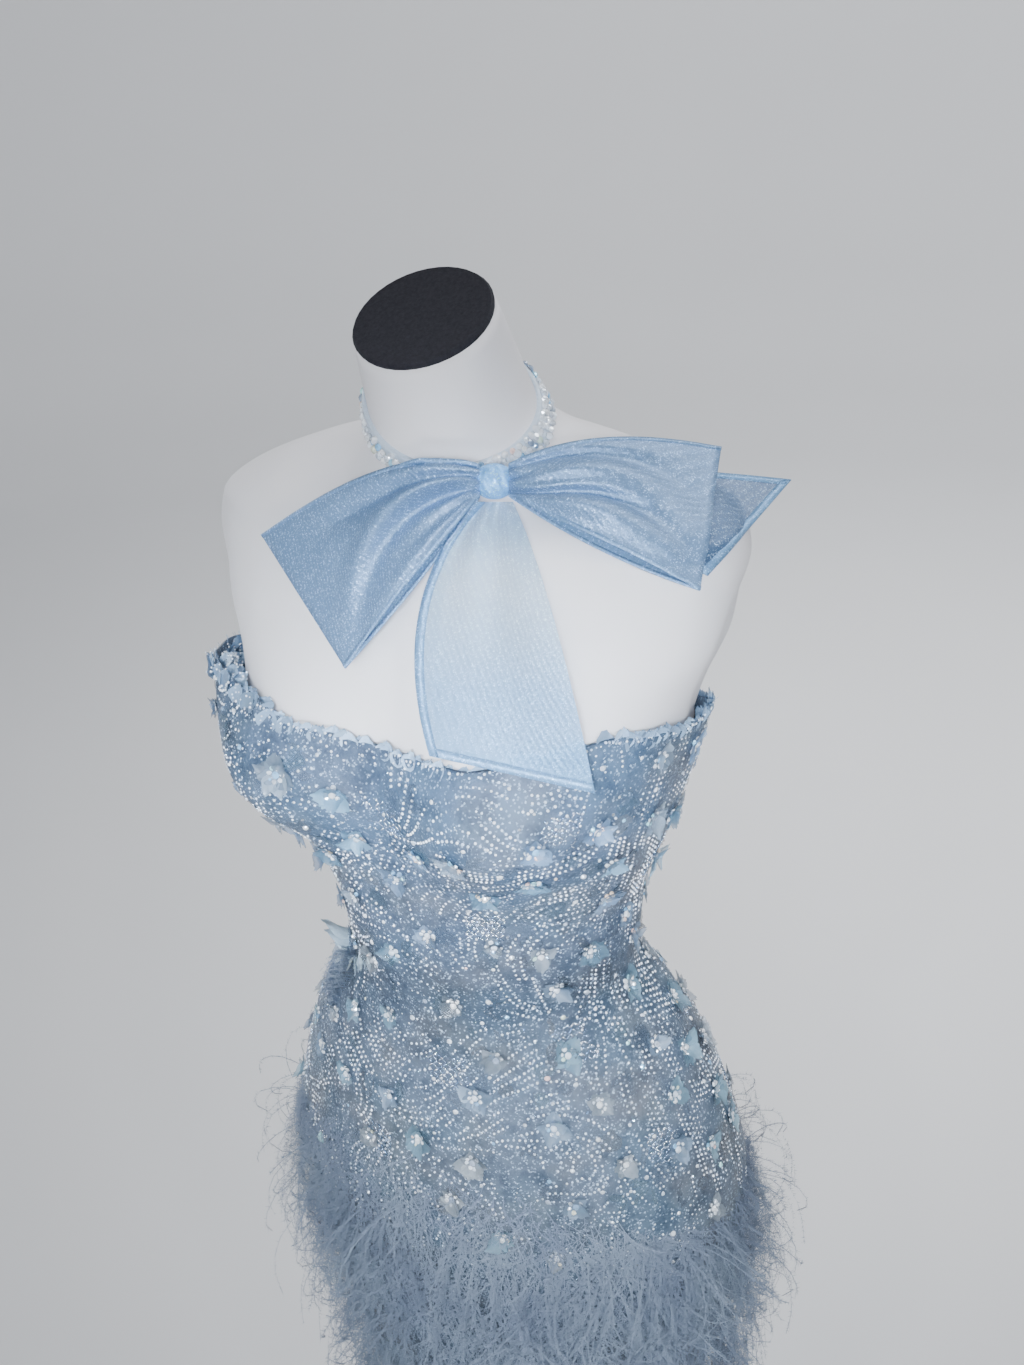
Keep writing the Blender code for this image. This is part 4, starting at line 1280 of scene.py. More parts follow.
def heading_at(height, angle):
    """The strings' heading at a place."""
    row = int(np.interp(height, FLOW_HEIGHTS, np.arange(len(FLOW_HEIGHTS))))
    return float(FLOW[row, int((angle % FULL_TURN) / FULL_TURN * len(FLOW_TURNS))])


def walk(start, count, step):
    """A string of places on the gown that starts at one and follows the field."""
    height, angle = start
    string = []
    for _ in range(count):
        string.append((height, angle))
        heading = heading_at(height, angle)
        height += step * math.sin(heading)
        angle += step * math.cos(heading) / girth(height)
    return string


def beside(start, across, along):
    """A place moved across and along the heading at a start."""
    heading = heading_at(*start)
    height = start[0] + across * math.cos(heading) + along * math.sin(heading)
    return height, start[1] + (along * math.cos(heading) - across * math.sin(heading)) / girth(start[0])


STRING_SEED = 31
SIZE_SEED = 32
EDGE_SEED = 33
STRING_APART = 0.0035
STRINGS_HIGH = 1.268
STRING_UNDER_EDGE = 0.0025
STRING_PEARLS = (4, 15)
STRING_ROWS = (1, 4)
ROW_APART = 0.0048
LEAST_PEARLS = 3
HEART_CLEAR = 0.0045
HEART_PLACES = 8
EDGE_GIRTH = 0.15
EDGE_KEPT = 0.75
PEARL_OUT = 0.0009


def free_part(string, spacing, chance):
    """The part of a string that lies on the gown and on nothing else, thinner towards the feathers."""
    kept = []
    for height, angle in string:
        if height < BEADS_LOW or height > edge_at(angle) - STRING_UNDER_EDGE or in_tuft(height, angle):
            break
        if spacing.near(height, angle):
            break
        if chance.uniform() < 0.10 + 0.90 * smooth_step((height - BEADS_LOW) / (BEADS_FADE - BEADS_LOW)):
            kept.append((height, angle))
    return kept


def pearl_strings(settings, hearts):
    """Strings of pearls in ones, twos and threes side by side, clear of the flowers' hearts."""
    chance = default_rng(STRING_SEED)
    spacing = Spacing(STRING_APART)
    for height, angle in hearts:
        for turn in turns_of(HEART_PLACES):
            across = HEART_CLEAR * math.cos(turn) / girth(height)
            spacing.take(height + HEART_CLEAR * math.sin(turn), angle + across)
        spacing.take(height, angle)
    places = []
    for _ in range(settings.strings):
        start = (chance.uniform(BEADS_LOW, STRINGS_HIGH), chance.uniform(0, FULL_TURN))
        count = chance.integers(*STRING_PEARLS)
        for row in range(chance.integers(*STRING_ROWS)):
            first = beside(start, row * ROW_APART, 0.5 * (row % 2) * settings.pearl_spacing)
            string = free_part(walk(first, count, settings.pearl_spacing), spacing, chance)
            if len(string) < LEAST_PEARLS:
                break
            for place in string:
                spacing.take(*place)
            places.extend(string)
    return places


def edge_beads(settings):
    """Pearls along the neckline, close under its edge, with gaps."""
    chance = default_rng(EDGE_SEED)
    angle = np.arange(0, FULL_TURN, 0.7 * settings.pearl_spacing / EDGE_GIRTH)
    angle = angle[chance.uniform(size=len(angle)) < EDGE_KEPT]
    return list(zip(neckline(angle) - chance.uniform(-0.0004, 0.0022, len(angle)), angle))


def pearls(settings):
    """Small pearls in curved strings, in one piece for the front and one for the back."""
    chance = default_rng(SIZE_SEED)
    places = np.array(pearl_strings(settings, flower_places(settings)) + edge_beads(settings))
    sizes = settings.pearl_radius * chance.uniform(0.86, 1.10, len(places))
    spots, ways = cloth_frame(*places.T, PEARL_OUT)
    material = pearl_finish()
    front = np.sin(places[:, 1]) < 0
    for name, chosen in (("pearls_front", front), ("pearls_back", ~front)):
        pile = Pile()
        pile.set_down(PEARL, spots[chosen], ways[chosen], sizes[chosen])
        pile.piece(name, material, "beaded_tulle")


STONE_SEED = 41
RING_STONES = 7
RING_REACH = (2.05, 2.55)
HEART_STONE = 1.25
SMALL_STONE_TRIES = 4
LARGE_STONE_TRIES = 300


def clusters(places, settings, chance):
    """Places, frames and sizes of small stones: a ring of them round each middle stone."""
    spots, ways = cloth_frame(*places.T, 0.0020)
    count = len(places)
    lean = chance.normal(0, 0.12, (2, count))
    heart = settings.stone_radius * HEART_STONE
    sets = [(spots, spun(ways, chance.uniform(0, 6, count), *lean), heart)]
    first = chance.uniform(0, FULL_TURN, count)
    for k in range(RING_STONES):
        turn = first + FULL_TURN * k / RING_STONES + chance.normal(0, 0.10, count)
        reach = settings.stone_radius * chance.uniform(*RING_REACH, count)
        offset = (np.cos(turn) * reach)[:, None] * ways[:, 0] + (np.sin(turn) * reach)[:, None] * ways[:, 1]
        lean = chance.normal(0, 0.30, (2, count))
        sizes = settings.stone_radius * chance.uniform(0.72, 1.05, count)
        sets.append((spots + offset, spun(ways, chance.uniform(0, 6, count), *lean), sizes))
    return sets


def crystals(settings):
    """Cut crystals: clusters at the flowers' hearts, large ones in claw cups, and small ones between."""
    chance = default_rng(STONE_SEED)
    hearts = flower_places(settings)
    pile = Pile()
    for spots, ways, sizes in clusters(hearts, settings, chance):
        pile.set_down(stone(8, 0.5, 0.62), spots, ways, sizes)
    small = strewn(SMALL_STONES, settings.crystals * SMALL_STONE_TRIES, hearts)[: settings.crystals]
    spots, ways = cloth_frame(*small.T, 0.0012)
    lean = chance.normal(0, 0.20, (2, len(small)))
    ways = spun(ways, chance.uniform(0, 6, len(small)), *lean)
    pile.set_down(stone(8), spots, ways, settings.stone_radius * chance.uniform(0.55, 1.1, len(small)))
    large = strewn(LARGE_STONES, LARGE_STONE_TRIES, hearts)[: settings.large_crystals]
    spots, ways = cloth_frame(*large.T, 0.0024)
    sizes = settings.crystal_radius * chance.uniform(0.85, 1.2, len(large))
    lean = chance.normal(0, 0.12, (2, len(large)))
    ways = spun(ways, chance.uniform(0, 6, len(large)), *lean)
    pile.set_down(stone(12, 0.56, 0.46), spots, ways, sizes)
    pile.piece("crystals", crystal_finish("cut_crystal", 0.06), "crystal", smooth=False)
    cups = Pile()
    cups.set_down(claw_ring(12), spots, ways, sizes)
    cups.piece("crystal_cups", silver_finish(), "crystal")


SEQUIN_SEED = 51
SEQUIN_SHARE = 0.45
SEQUIN_RADIUS = 0.0010
SEED_BEAD_RADIUS = 0.0007
NET_TRIES = 160
NET_CELLS = 8
NET_STEP = 0.0031
NET_SLANT = 0.8
BUGLE_RADIUS = 0.00052
BUGLE_LENGTH = 6.4


def sequins(settings):
    """Sequins and seed beads between the pearls, and small nets of bugles."""
    chance = default_rng(SEQUIN_SEED)
    places = strewn(SEQUIN_LAYOUT, settings.sequins)
    spots, ways = cloth_frame(*places.T, 0.0012)
    count = len(places)
    ways = spun(ways, chance.uniform(0, 6, count), *chance.normal(0, 0.30, (2, count)))
    pile = Pile()
    discs = chance.uniform(size=count) < SEQUIN_SHARE
    sizes = SEQUIN_RADIUS * chance.uniform(0.7, 1.2, discs.sum())
    pile.set_down(sequin(6), spots[discs], ways[discs], sizes)
    seeds = ~discs
    sizes = SEED_BEAD_RADIUS * chance.uniform(0.8, 1.2, seeds.sum())
    pile.set_down(SEED_BEAD, spots[seeds], ways[seeds], sizes)
    steps = np.arange(NET_CELLS) - (NET_CELLS - 1) / 2
    number = np.arange(NET_CELLS ** 2)
    slant = np.where((number + number // NET_CELLS) % 2, NET_SLANT, -NET_SLANT)
    for height, angle in strewn(NET_LAYOUT, NET_TRIES):
        rises = height + NET_STEP * steps[:, None] + 0 * steps[None, :]
        turns = angle + NET_STEP * steps[None, :] / girth(height) + 0 * steps[:, None]
        spots, ways = cloth_frame(rises.ravel(), turns.ravel(), 0.0010)
        pile.set_down(bugle(5, BUGLE_LENGTH), spots, spun(ways, slant), BUGLE_RADIUS)
    pile.piece("sequins_and_bugles", sequin_finish(), "beaded_tulle")


FLOWER_SEED = 62
PATCH_SEED = 66
PETAL_KINDS = 6
PETALS_A_FLOWER = 7
PETAL_LIFTED = 0.40
LIFTED_SHARE = 0.25
FLOWER_SHADE = 1.12
PATCH_TRIES = 1300
PATCH_SHADE = 1.35


def flowers(settings):
    """Flat organza flowers in three tints, sewn on by their middles."""
    chance = default_rng(FLOWER_SEED)
    places = flower_places(settings)
    spots, ways = cloth_frame(*places.T, 0.0016)
    lengths = chance.uniform(0.80, 1.15, len(places)) * settings.petal_length
    first_turn = chance.uniform(0, FULL_TURN, len(places))
    shapes = [petal(70 + k, 0.44, 0.40, 0.08, 0.04 + 0.03 * k, 0.12) for k in range(PETAL_KINDS)]
    tint = chance.integers(0, len(PETAL_TINTS), len(places))
    piles = [Pile() for _ in PETAL_TINTS]
    for k in range(PETALS_A_FLOWER):
        turn = first_turn + FULL_TURN * k / PETALS_A_FLOWER + chance.normal(0, 0.15, len(places))
        tip = chance.uniform(0.0, 0.14, len(places))
        tip = tip + PETAL_LIFTED * (chance.uniform(size=len(places)) < LIFTED_SHARE)
        sizes = lengths * chance.uniform(0.60, 1.15, len(places))
        for number, pile in enumerate(piles):
            chosen = tint == number
            frames = spun(ways[chosen], turn[chosen], tip[chosen])
            pile.set_down(shapes[k % PETAL_KINDS], spots[chosen], frames, sizes[chosen])
    for (name, share), pile in zip(PETAL_TINTS, piles):
        colour = tinted(shade(settings.petal, FLOWER_SHADE), share)
        pile.piece(f"organza_flowers_{name}", petal_finish(f"petal_{name}", colour, 0.62), "petal_organza")


def loose_patches(settings):
    """Wide frayed petals laid flat on the ground under the flowers, in the same three tints."""
    chance = default_rng(PATCH_SEED)
    places = strewn(PATCH_LAYOUT, PATCH_TRIES)
    spots, ways = cloth_frame(*places.T, 0.0010)
    kind = chance.integers(0, len(PETAL_TINTS), len(places))
    turns = chance.uniform(0, FULL_TURN, len(places))
    sizes = chance.uniform(0.011, 0.019, len(places))
    for k, (name, share) in enumerate(PETAL_TINTS):
        chosen = kind == k
        pile = Pile()
        shape = petal(90 + k, wide=0.50, cup=0.1, lift=0.02, curl=0.02, frayed=0.12)
        pile.set_down(shape, spots[chosen], spun(ways[chosen], turns[chosen]), sizes[chosen])
        colour = tinted(shade(settings.haze, PATCH_SHADE), share)
        pile.piece(f"organza_patches_{name}", petal_finish(f"patch_{name}", colour, 0.42), "petal_organza")


TRIM_SEED = 71
TRIM_LAYERS = 3
TRIM_STEP = 0.068
TRIM_SHIFT = 0.023
CORNER_MIDDLE = CUP_GAPE_ANGLE + 0.05
CORNER_HALF = 0.45
PRESSED = -0.45
SLIPS = 480
SLIP_WIDTH = 0.0015
SLIP_RISE = 0.004
TRIM_TINT = (1.90, 1.72, 1.55)
LOBES = 16
LOBE_BEADS = 9
LOBE_REACH = (-0.80, 0.72)
LobeRow = namedtuple("LobeRow", "deep tip long out")
LOBE_ROWS = (
    LobeRow((0.0180, 0.0100), 0.10, 0.0180, 0.0010),
    LobeRow((0.0135, 0.0080), -0.45, 0.0165, -0.0016),
    LobeRow((0.0115, 0.0070), -0.90, 0.0170, -0.0020),
    LobeRow((0.0120, 0.0080), -1.25, 0.0190, -0.0022),
)


def edge_frames(angle, deep, out, turn, tip):
    """Frames under the neckline's edge, spun sideways and tipped."""
    spots, ways = cloth_frame(neckline(angle) - deep, angle, out)
    return spots, spun(ways, turn, tip)


def at_tail_end(angle):
    """Whether places on the neckline lie under the end of the bow's front tail."""
    turn = angle % FULL_TURN
    return (turn > TAIL_END[0]) & (turn < TAIL_END[1])


def neckline_trim(settings):
    """Petals and slips along the neckline, and beaded lobes where the wearer's right cup stands away."""
    chance = default_rng(TRIM_SEED)
    pile = Pile()
    for layer in range(TRIM_LAYERS):
        angle = np.arange(0, FULL_TURN, TRIM_STEP) + layer * TRIM_SHIFT
        angle = angle + chance.normal(0, 0.012, len(angle))
        corner = np.abs(angle_between(angle, CORNER_MIDDLE)) < CORNER_HALF
        angle = angle[(~at_tail_end(angle) | (layer == 0)) & ~corner]
        count = len(angle)
        tip = np.where(at_tail_end(angle), PRESSED, chance.uniform(-0.42, -0.05, count))
        places = edge_frames(angle, 0.0062, 0.0006 + 0.0004 * layer, chance.normal(0, 0.30, count), tip)
        shape = petal(80 + layer, wide=0.50, lift=0.02, curl=0.04, frayed=0.09)
        pile.set_down(shape, *places, chance.uniform(0.0095, 0.0130, count))
    beads = Pile()
    reach = np.linspace(*LOBE_REACH, LOBES)
    for number, row in enumerate(LOBE_ROWS):
        angle = CUP_GAPE_ANGLE + reach + 0.05 * (number % 2) + chance.normal(0, 0.015, LOBES)
        deep = np.interp(reach, (0.0, 0.25), row.deep)
        tip = row.tip + chance.normal(0, 0.05, LOBES)
        spots, ways = edge_frames(angle, deep, row.out, chance.normal(0, 0.10, LOBES), tip)
        lobe = petal(84 + number, wide=0.62, cup=0.25, lift=0.02, curl=0.02, frayed=0.05)
        fall = 1 - 0.30 * np.clip((reach - 0.1) / 0.6, 0, 1)
        sizes = row.long * fall * chance.uniform(0.90, 1.10, LOBES)
        pile.set_down(lobe, spots, ways, sizes)
        grid = copies(lobe, spots, ways, sizes)[0].reshape(LOBES, -1, 3)
        for k in range(LOBES):
            picked = grid[k][chance.choice(grid.shape[1], LOBE_BEADS, replace=False)]
            frames = np.repeat(ways[k: k + 1], LOBE_BEADS, axis=0)
            radii = settings.pearl_radius * chance.uniform(0.6, 1.0, LOBE_BEADS)
            beads.set_down(PEARL, picked, frames, radii)
    angle = chance.uniform(0, FULL_TURN, SLIPS)
    angle = angle[~at_tail_end(angle)]
    count = len(angle)
    turn = chance.normal(0, 0.6, count)
    places = edge_frames(angle, 0.0030, 0.0004, turn, chance.normal(-0.15, 0.3, count))
    lengths = chance.uniform(0.0040, 0.0072, count)
    sizes = np.stack((np.full(count, SLIP_WIDTH), lengths, np.full(count, SLIP_RISE)), axis=-1)
    pile.set_down(petal(88, wide=0.12, lift=0.1, curl=0.2, point=0.8), *places, sizes)
    organza = petal_finish("neckline_organza", tinted(settings.petal, TRIM_TINT), 0.85)
    pile.piece("neckline_trim", organza, "petal_organza", ["neckline_petals"])
    beads.piece("neckline_beads", pearl_finish(), "beaded_tulle")


BARB_STEPS = 18
SPINE_STEP = 3
SPINE_HALF_WIDTH = 0.00024
HAIR_HALF_WIDTH = 0.00016


def barb_mesh(roots, outward, lengths, chance, start, end, hairs, hair_length, sway):
    """Curved feather barbs, each a thin spine with long fine hairs that lean along it.

    The barbs leave their roots at one climb in degrees and turn to another, and sway sideways. It gives
    the points, faces and normals.
    """
    count = len(roots)
    t = np.linspace(0, 1, BARB_STEPS + 1)[None, :, None]
    power = chance.uniform(0.7, 1.3, (count, 1, 1))
    climb = np.radians(start[:, None, None] + (end - start)[:, None, None] * t ** power)
    out = outward[:, None, :]
    across = np.cross(UP, out)
    aside = chance.normal(0, sway[0], (count, 1, 1)) + chance.normal(0, sway[1], (count, 1, 1)) * t ** 2
    way = unit(out * np.cos(climb) + UP * np.sin(climb) + across * aside)
    step = (lengths / BARB_STEPS)[:, None, None]
    travelled = np.concatenate((np.zeros((count, 1, 3)), np.cumsum(way[:, :-1] * step, axis=1)), axis=1)
    path = roots[:, None, :] + travelled
    side = unit(across - (across * way).sum(axis=2, keepdims=True) * way)
    normal = np.cross(way, side)
    roll = chance.normal(0, 0.6, (count, 1, 1))
    side, normal = side * np.cos(roll) + normal * np.sin(roll), normal * np.cos(roll) - side * np.sin(roll)
    share = chance.uniform(0.03, 1.0, (count, hairs))
    place = share * BARB_STEPS * 0.9999
    k = place.astype(int)
    part = (place - k)[..., None]
    one = np.arange(count)[:, None]
    foot = path[one, k] * (1 - part) + path[one, k + 1] * part
    along = way[one, k]
    hand = chance.choice((-1.0, 1.0), (count, hairs, 1))
    tilt = chance.normal(0, 0.5, (count, hairs, 1))
    sideways = hand * np.cos(tilt) * side[one, k] + np.sin(tilt) * normal[one, k]
    lean = chance.uniform(0.45, 1.30, (count, hairs, 1))
    hair_way = unit(along * np.cos(lean) + sideways * np.sin(lean))
    profile = 0.45 + 0.65 * np.sin(math.pi * (0.08 + 0.84 * share))
    reach = (hair_length * profile * chance.uniform(0.55, 1.2, (count, hairs)))[..., None]
    soft = unit(outward * 0.85 + UP * 0.45)
    facing = np.broadcast_to(soft[:, None, :], foot.shape)
    wide = unit(np.cross(hair_way, facing)) * HAIR_HALF_WIDTH
    flat = np.stack((foot - wide, foot + wide, foot + hair_way * reach), axis=2).reshape(-1, 3)
    triangles = np.arange(len(flat)).reshape(-1, 3)
    spine = path[:, ::SPINE_STEP]
    spine_side = unit(np.cross(way[:, ::SPINE_STEP], soft[:, None, :])) * SPINE_HALF_WIDTH
    rails = np.stack((spine - spine_side, spine + spine_side), axis=2).reshape(count, -1, 3)
    steps = spine.shape[1]
    starts = (np.arange(count) * steps * 2)[:, None, None]
    strips = (grid_faces(steps, 2)[None] + starts).reshape(-1, 4) + len(flat)
    points = np.concatenate((flat, rails.reshape(-1, 3)))
    hair_normals = np.repeat(facing.reshape(-1, 3), 3, axis=0)
    normals = np.concatenate((hair_normals, np.repeat(soft, steps * 2, axis=0)))
    return points, [triangles, strips], normals


Plume = namedtuple("Plume", "share low high short long start end hairs hair sway")
MASS = Plume(1.0, -0.050, 0.0, 0.060, 0.110, (-84, -56), (-112, -78), 64, 0.0078, (0.40, 1.20))
CURLS = Plume(0.12, -0.040, 0.016, 0.060, 0.100, (-25, 28), (-175, -95), 90, 0.0044, (0.35, 0.80))
DOWN = Plume(0.34, 0.000, 0.050, 0.020, 0.045, (-80, -40), (-118, -75), 34, 0.0062, (0.70, 1.30))
TIER_SEED = 200
LOWER_TIER_SHARE = 0.50
DOWN_HALF_TURN = math.radians(68)
CURL_DROP = 0.012


def plumes(pile, plume, count, top, chance, half_turn=None):
    """Adds barbs of one kind, all round the gown or over a part of its front."""
    number = int(count * plume.share)
    if half_turn is None:
        angle = turns_of(number) + chance.normal(0, 0.03, number)
        height = top + chance.uniform(plume.low, plume.high, number)
    else:
        turn = chance.uniform(-1, 1, number)
        angle = CENTRE_FRONT + half_turn * turn
        rise = (plume.high - plume.low) * chance.uniform(0, 1, number) ** 1.7
        height = top + plume.low + rise * (1 - turn * turn)
    spots, ways = cloth_frame(height, angle, 0.0010)
    outward = unit(ways[:, 2] * np.array((1, 1, 0)))
    lengths = chance.uniform(plume.short, plume.long, number)
    start = chance.uniform(*plume.start, number)
    end = chance.uniform(*plume.end, number)
    pile.add(*barb_mesh(spots, outward, lengths, chance, start, end, plume.hairs, plume.hair, plume.sway))


def feather_tiers(settings):
    """Four tiers of ostrich barbs: a mass and curled plumes in each, and down over the first one's head."""
    material = feather_finish("ostrich_feather", settings.feather)
    for number, top in enumerate(TAPES, start=1):
        chance = default_rng(TIER_SEED + number)
        count = settings.barbs if number == 1 else int(settings.barbs * LOWER_TIER_SHARE)
        pile = Pile()
        plumes(pile, MASS, count, top, chance)
        plumes(pile, CURLS, count, top - CURL_DROP, chance)
        if number == 1:
            plumes(pile, DOWN, count, top, chance, DOWN_HALF_TURN)
        pile.piece(f"ostrich_tier_{number}", material, "feather", [f"feather_tier_{number}"])


TUFT_SEED = 81
TUFT_LEAVES = (0.029, 0.026, 0.020, 0.017, 0.015)
TUFT_STROKES = 26
TUFT_PLUMES = 300
TUFT_TINT = (2.9, 2.6, 2.2)
TUFT_DOWN_SHADE = 1.5


def waist_tuft(settings):
    """A pale leaf of organza over soft plumes that spread out from the waist at the wearer's right."""
    chance = default_rng(TUFT_SEED)
    pile = Pile()
    step = np.arange(len(TUFT_LEAVES))
    spots, ways = cloth_frame(TUFT_LEAF.height - 0.0035 * step, TUFT_LEAF.angle + 0.03 * (step % 2), 0.0)
    ways = spun(ways, 0.12 - 0.05 * step, 1.20 + 0.16 * step, 0.25 * (step % 2))
    leaf = petal(98, wide=0.36, cup=0.5, lift=0.0, curl=-0.10, frayed=0.06, point=0.55)
    pile.set_down(leaf, spots, ways, np.array(TUFT_LEAVES))
    share = np.linspace(0.0, 1.0, TUFT_STROKES)
    angle = TUFT_FOOT.angle + (TUFT_HEAD.angle - TUFT_FOOT.angle) * share
    height = TUFT_FOOT.height + (TUFT_HEAD.height - TUFT_FOOT.height) * share
    height = height + chance.normal(0, 0.002, TUFT_STROKES)
    spots, ways = cloth_frame(height, angle, 0.0012)
    turn = math.pi + chance.normal(0.25, 0.35, TUFT_STROKES)
    ways = spun(ways, turn, chance.uniform(0.10, 0.4, TUFT_STROKES))
    stroke = petal(99, wide=0.30, cup=0.4, lift=0.0, curl=0.05, frayed=0.08, point=0.4)
    pile.set_down(stroke, spots, ways, chance.uniform(0.010, 0.016, TUFT_STROKES))
    colour = tinted(settings.petal, TUFT_TINT)
    pile.piece("waist_tuft_petals", petal_finish("tuft_organza", colour, 0.9), "feather", ["hip_tuft"])
    height = TUFT_LEAF.height - 0.004 - 0.052 * chance.uniform(0, 1, TUFT_PLUMES)
    angle = TUFT_LEAF.angle + chance.uniform(-0.14, 0.26, TUFT_PLUMES)
    spots, ways = cloth_frame(height, angle, 0.0006)
    outward = unit((0.75 * ways[:, 2] - 0.65 * ways[:, 0]) * np.array((1, 1, 0)))
    fall = (TUFT_LEAF.height - height) / 0.056
    start = 20 - 45 * fall + chance.normal(0, 10, TUFT_PLUMES)
    end = -20 - 50 * fall + chance.normal(0, 12, TUFT_PLUMES)
    lengths = chance.uniform(0.012, 0.022, TUFT_PLUMES)
    fluff = Pile()
    fluff.add(*barb_mesh(spots, outward, lengths, chance, start, end, 30, 0.0036, (0.15, 0.30)))
    material = feather_finish("tuft_down", shade(settings.feather, TUFT_DOWN_SHADE))
    fluff.piece("waist_tuft_down", material, "feather")


def collar_place(share, angle, out):
    """Points on the collar at shares of its width, each with its frame."""
    def spot(share, angle):
        top = COLLAR_HEIGHT - COLLAR_TILT * np.sin(angle - COLLAR_FRONT)
        return figure(position_of(top - COLLAR_WIDE * (1 - share)), angle)

    across = spot(share, angle + 0.01) - spot(share, angle - 0.01)
    rise = spot(share + 0.02, angle) - spot(share - 0.02, angle)
    ways = frames_of(across, rise)
    return spot(share, angle) + ways[..., 2, :] * out, ways


COLLAR_LEVELS = np.array((-0.02, 0.0, 0.15, 0.35, 0.55, 0.75, 0.92, 1.0, 1.02))
COLLAR_RISES = np.array((-0.4, 0.9, 1.0, 1.0, 1.0, 1.25, 1.25, 0.9, -0.4)) * 0.0018
COLLAR_COLUMNS = 144
COLLAR_SEED = 91
STONES_A_ROW = 68
STONES_TOWARDS = math.radians(345)
StoneRow = namedtuple("StoneRow", "share full_from kept")
STONE_ROWS = (
    StoneRow(0.10, -2.0, 1.0),
    StoneRow(0.34, -0.2, 0.6),
    StoneRow(0.58, -2.0, 0.9),
    StoneRow(0.80, 0.35, 0.25),
)


def collar(settings):
    """The satin band, and the rows of stones on it, more of them at the wearer's left."""
    angle = turns_of(COLLAR_COLUMNS)[None, :] + 0 * COLLAR_LEVELS[:, None]
    share = COLLAR_LEVELS[:, None] + 0 * angle
    rise = COLLAR_RISES[:, None] + COLLAR_GAP + 0 * angle
    points, _ = collar_place(share, angle, rise[..., None])
    pile = Pile()
    pile.add(points, [grid_faces(len(COLLAR_LEVELS), COLLAR_COLUMNS, True)])
    pile.piece("collar_satin", satin_finish(settings.satin), "crystal", ["collar_band"])
    chance = default_rng(COLLAR_SEED)
    stones = Pile()
    beads = STONES_A_ROW
    for level, row in enumerate(STONE_ROWS):
        angle = turns_of(beads) + 0.5 * level * FULL_TURN / beads
        angle = angle + chance.normal(0, 0.006, beads)
        left = np.cos(angle_between(angle, STONES_TOWARDS))
        angle = angle[(left > row.full_from) | (chance.uniform(size=beads) < row.kept)]
        count = len(angle)
        share = row.share + chance.normal(0, 0.02, count)
        spots, ways = collar_place(share, angle, 0.0030)
        ways = spun(ways, chance.uniform(0, 6, count), *chance.normal(0, 0.22, (2, count)))
        stones.set_down(stone(8, 0.5, 0.6), spots, ways, settings.stone * chance.uniform(0.72, 1.15, count))
    stones.piece("collar_stones", crystal_finish("collar_crystal", 0.04), "crystal", smooth=False)


def bow_axes():
    """The bow's right, up and out directions."""
    out = Vector((
        math.sin(BOW_TURN) * math.cos(BOW_TIP),
        -math.cos(BOW_TURN) * math.cos(BOW_TIP),
        math.sin(BOW_TIP),
    ))
    level = Vector((math.cos(BOW_TURN), math.sin(BOW_TURN), 0))
    right = level * math.cos(BOW_ROLL) + out.cross(level) * math.sin(BOW_ROLL)
    return right, out.cross(right), out


BOW_RIGHT, BOW_UP, BOW_OUT = bow_axes()


def bow_place(spot):
    """A point of the bow's frame in the object's own frame."""
    return BOW_CENTRE + BOW_RIGHT * spot[0] + BOW_UP * spot[1] + BOW_OUT * spot[2]


def bend(start, middle, end, share):
    """A point on the arc that starts and ends at two points and leans towards a third."""
    a = Vector(start).lerp(Vector(middle), share)
    b = Vector(middle).lerp(Vector(end), share)
    return a.lerp(b, share)


def surface_of(name):
    """A searchable copy of a solid's surface."""
    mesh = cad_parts[name].data
    corners = [vertex.co.copy() for vertex in mesh.vertices]
    return BVHTree.FromPolygons(corners, [tuple(face.vertices) for face in mesh.polygons])


def lifted(spot, carriers, clear):
    """A point of the bow's frame, raised where it would come nearer than a gap to what carries the bow."""
    start = bow_place((spot[0], spot[1], BOW_REACH))
    depth = spot[2]
    for carrier in carriers:
        place_hit, _, _, distance = carrier.ray_cast(start, -BOW_OUT)
        if place_hit is not None:
            depth = max(depth, BOW_REACH - distance + clear)
    return Vector((spot[0], spot[1], depth))


LOOP_STEPS = 34
LOOP_ACROSS = 33
TAIL_STEPS = 40
TAIL_ACROSS = 21
KNOT_FLOW = 0.003
LOOP_PLEAT = 0.0020
TAIL_PLEAT = 0.0022
TAIL_RIPPLE = 0.0014


def crease_depth(loop, side, share):
    """How far the creases that run out from the knot push the cloth in or out."""
    total = 0.0
    for crease in loop.creases:
        first = crease.side_start + (crease.side_bend - crease.side_start) * share
        second = crease.side_bend + (crease.side_end - crease.side_bend) * share
        middle = first + (second - first) * share
        wide = crease.width * (0.8 + 0.9 * share)
        fade = math.sin(math.pi * min(share ** 0.7 + 0.02, 1.0))
        total += crease.depth * fade * math.exp(-(((side - middle) / wide) ** 2))
    return total


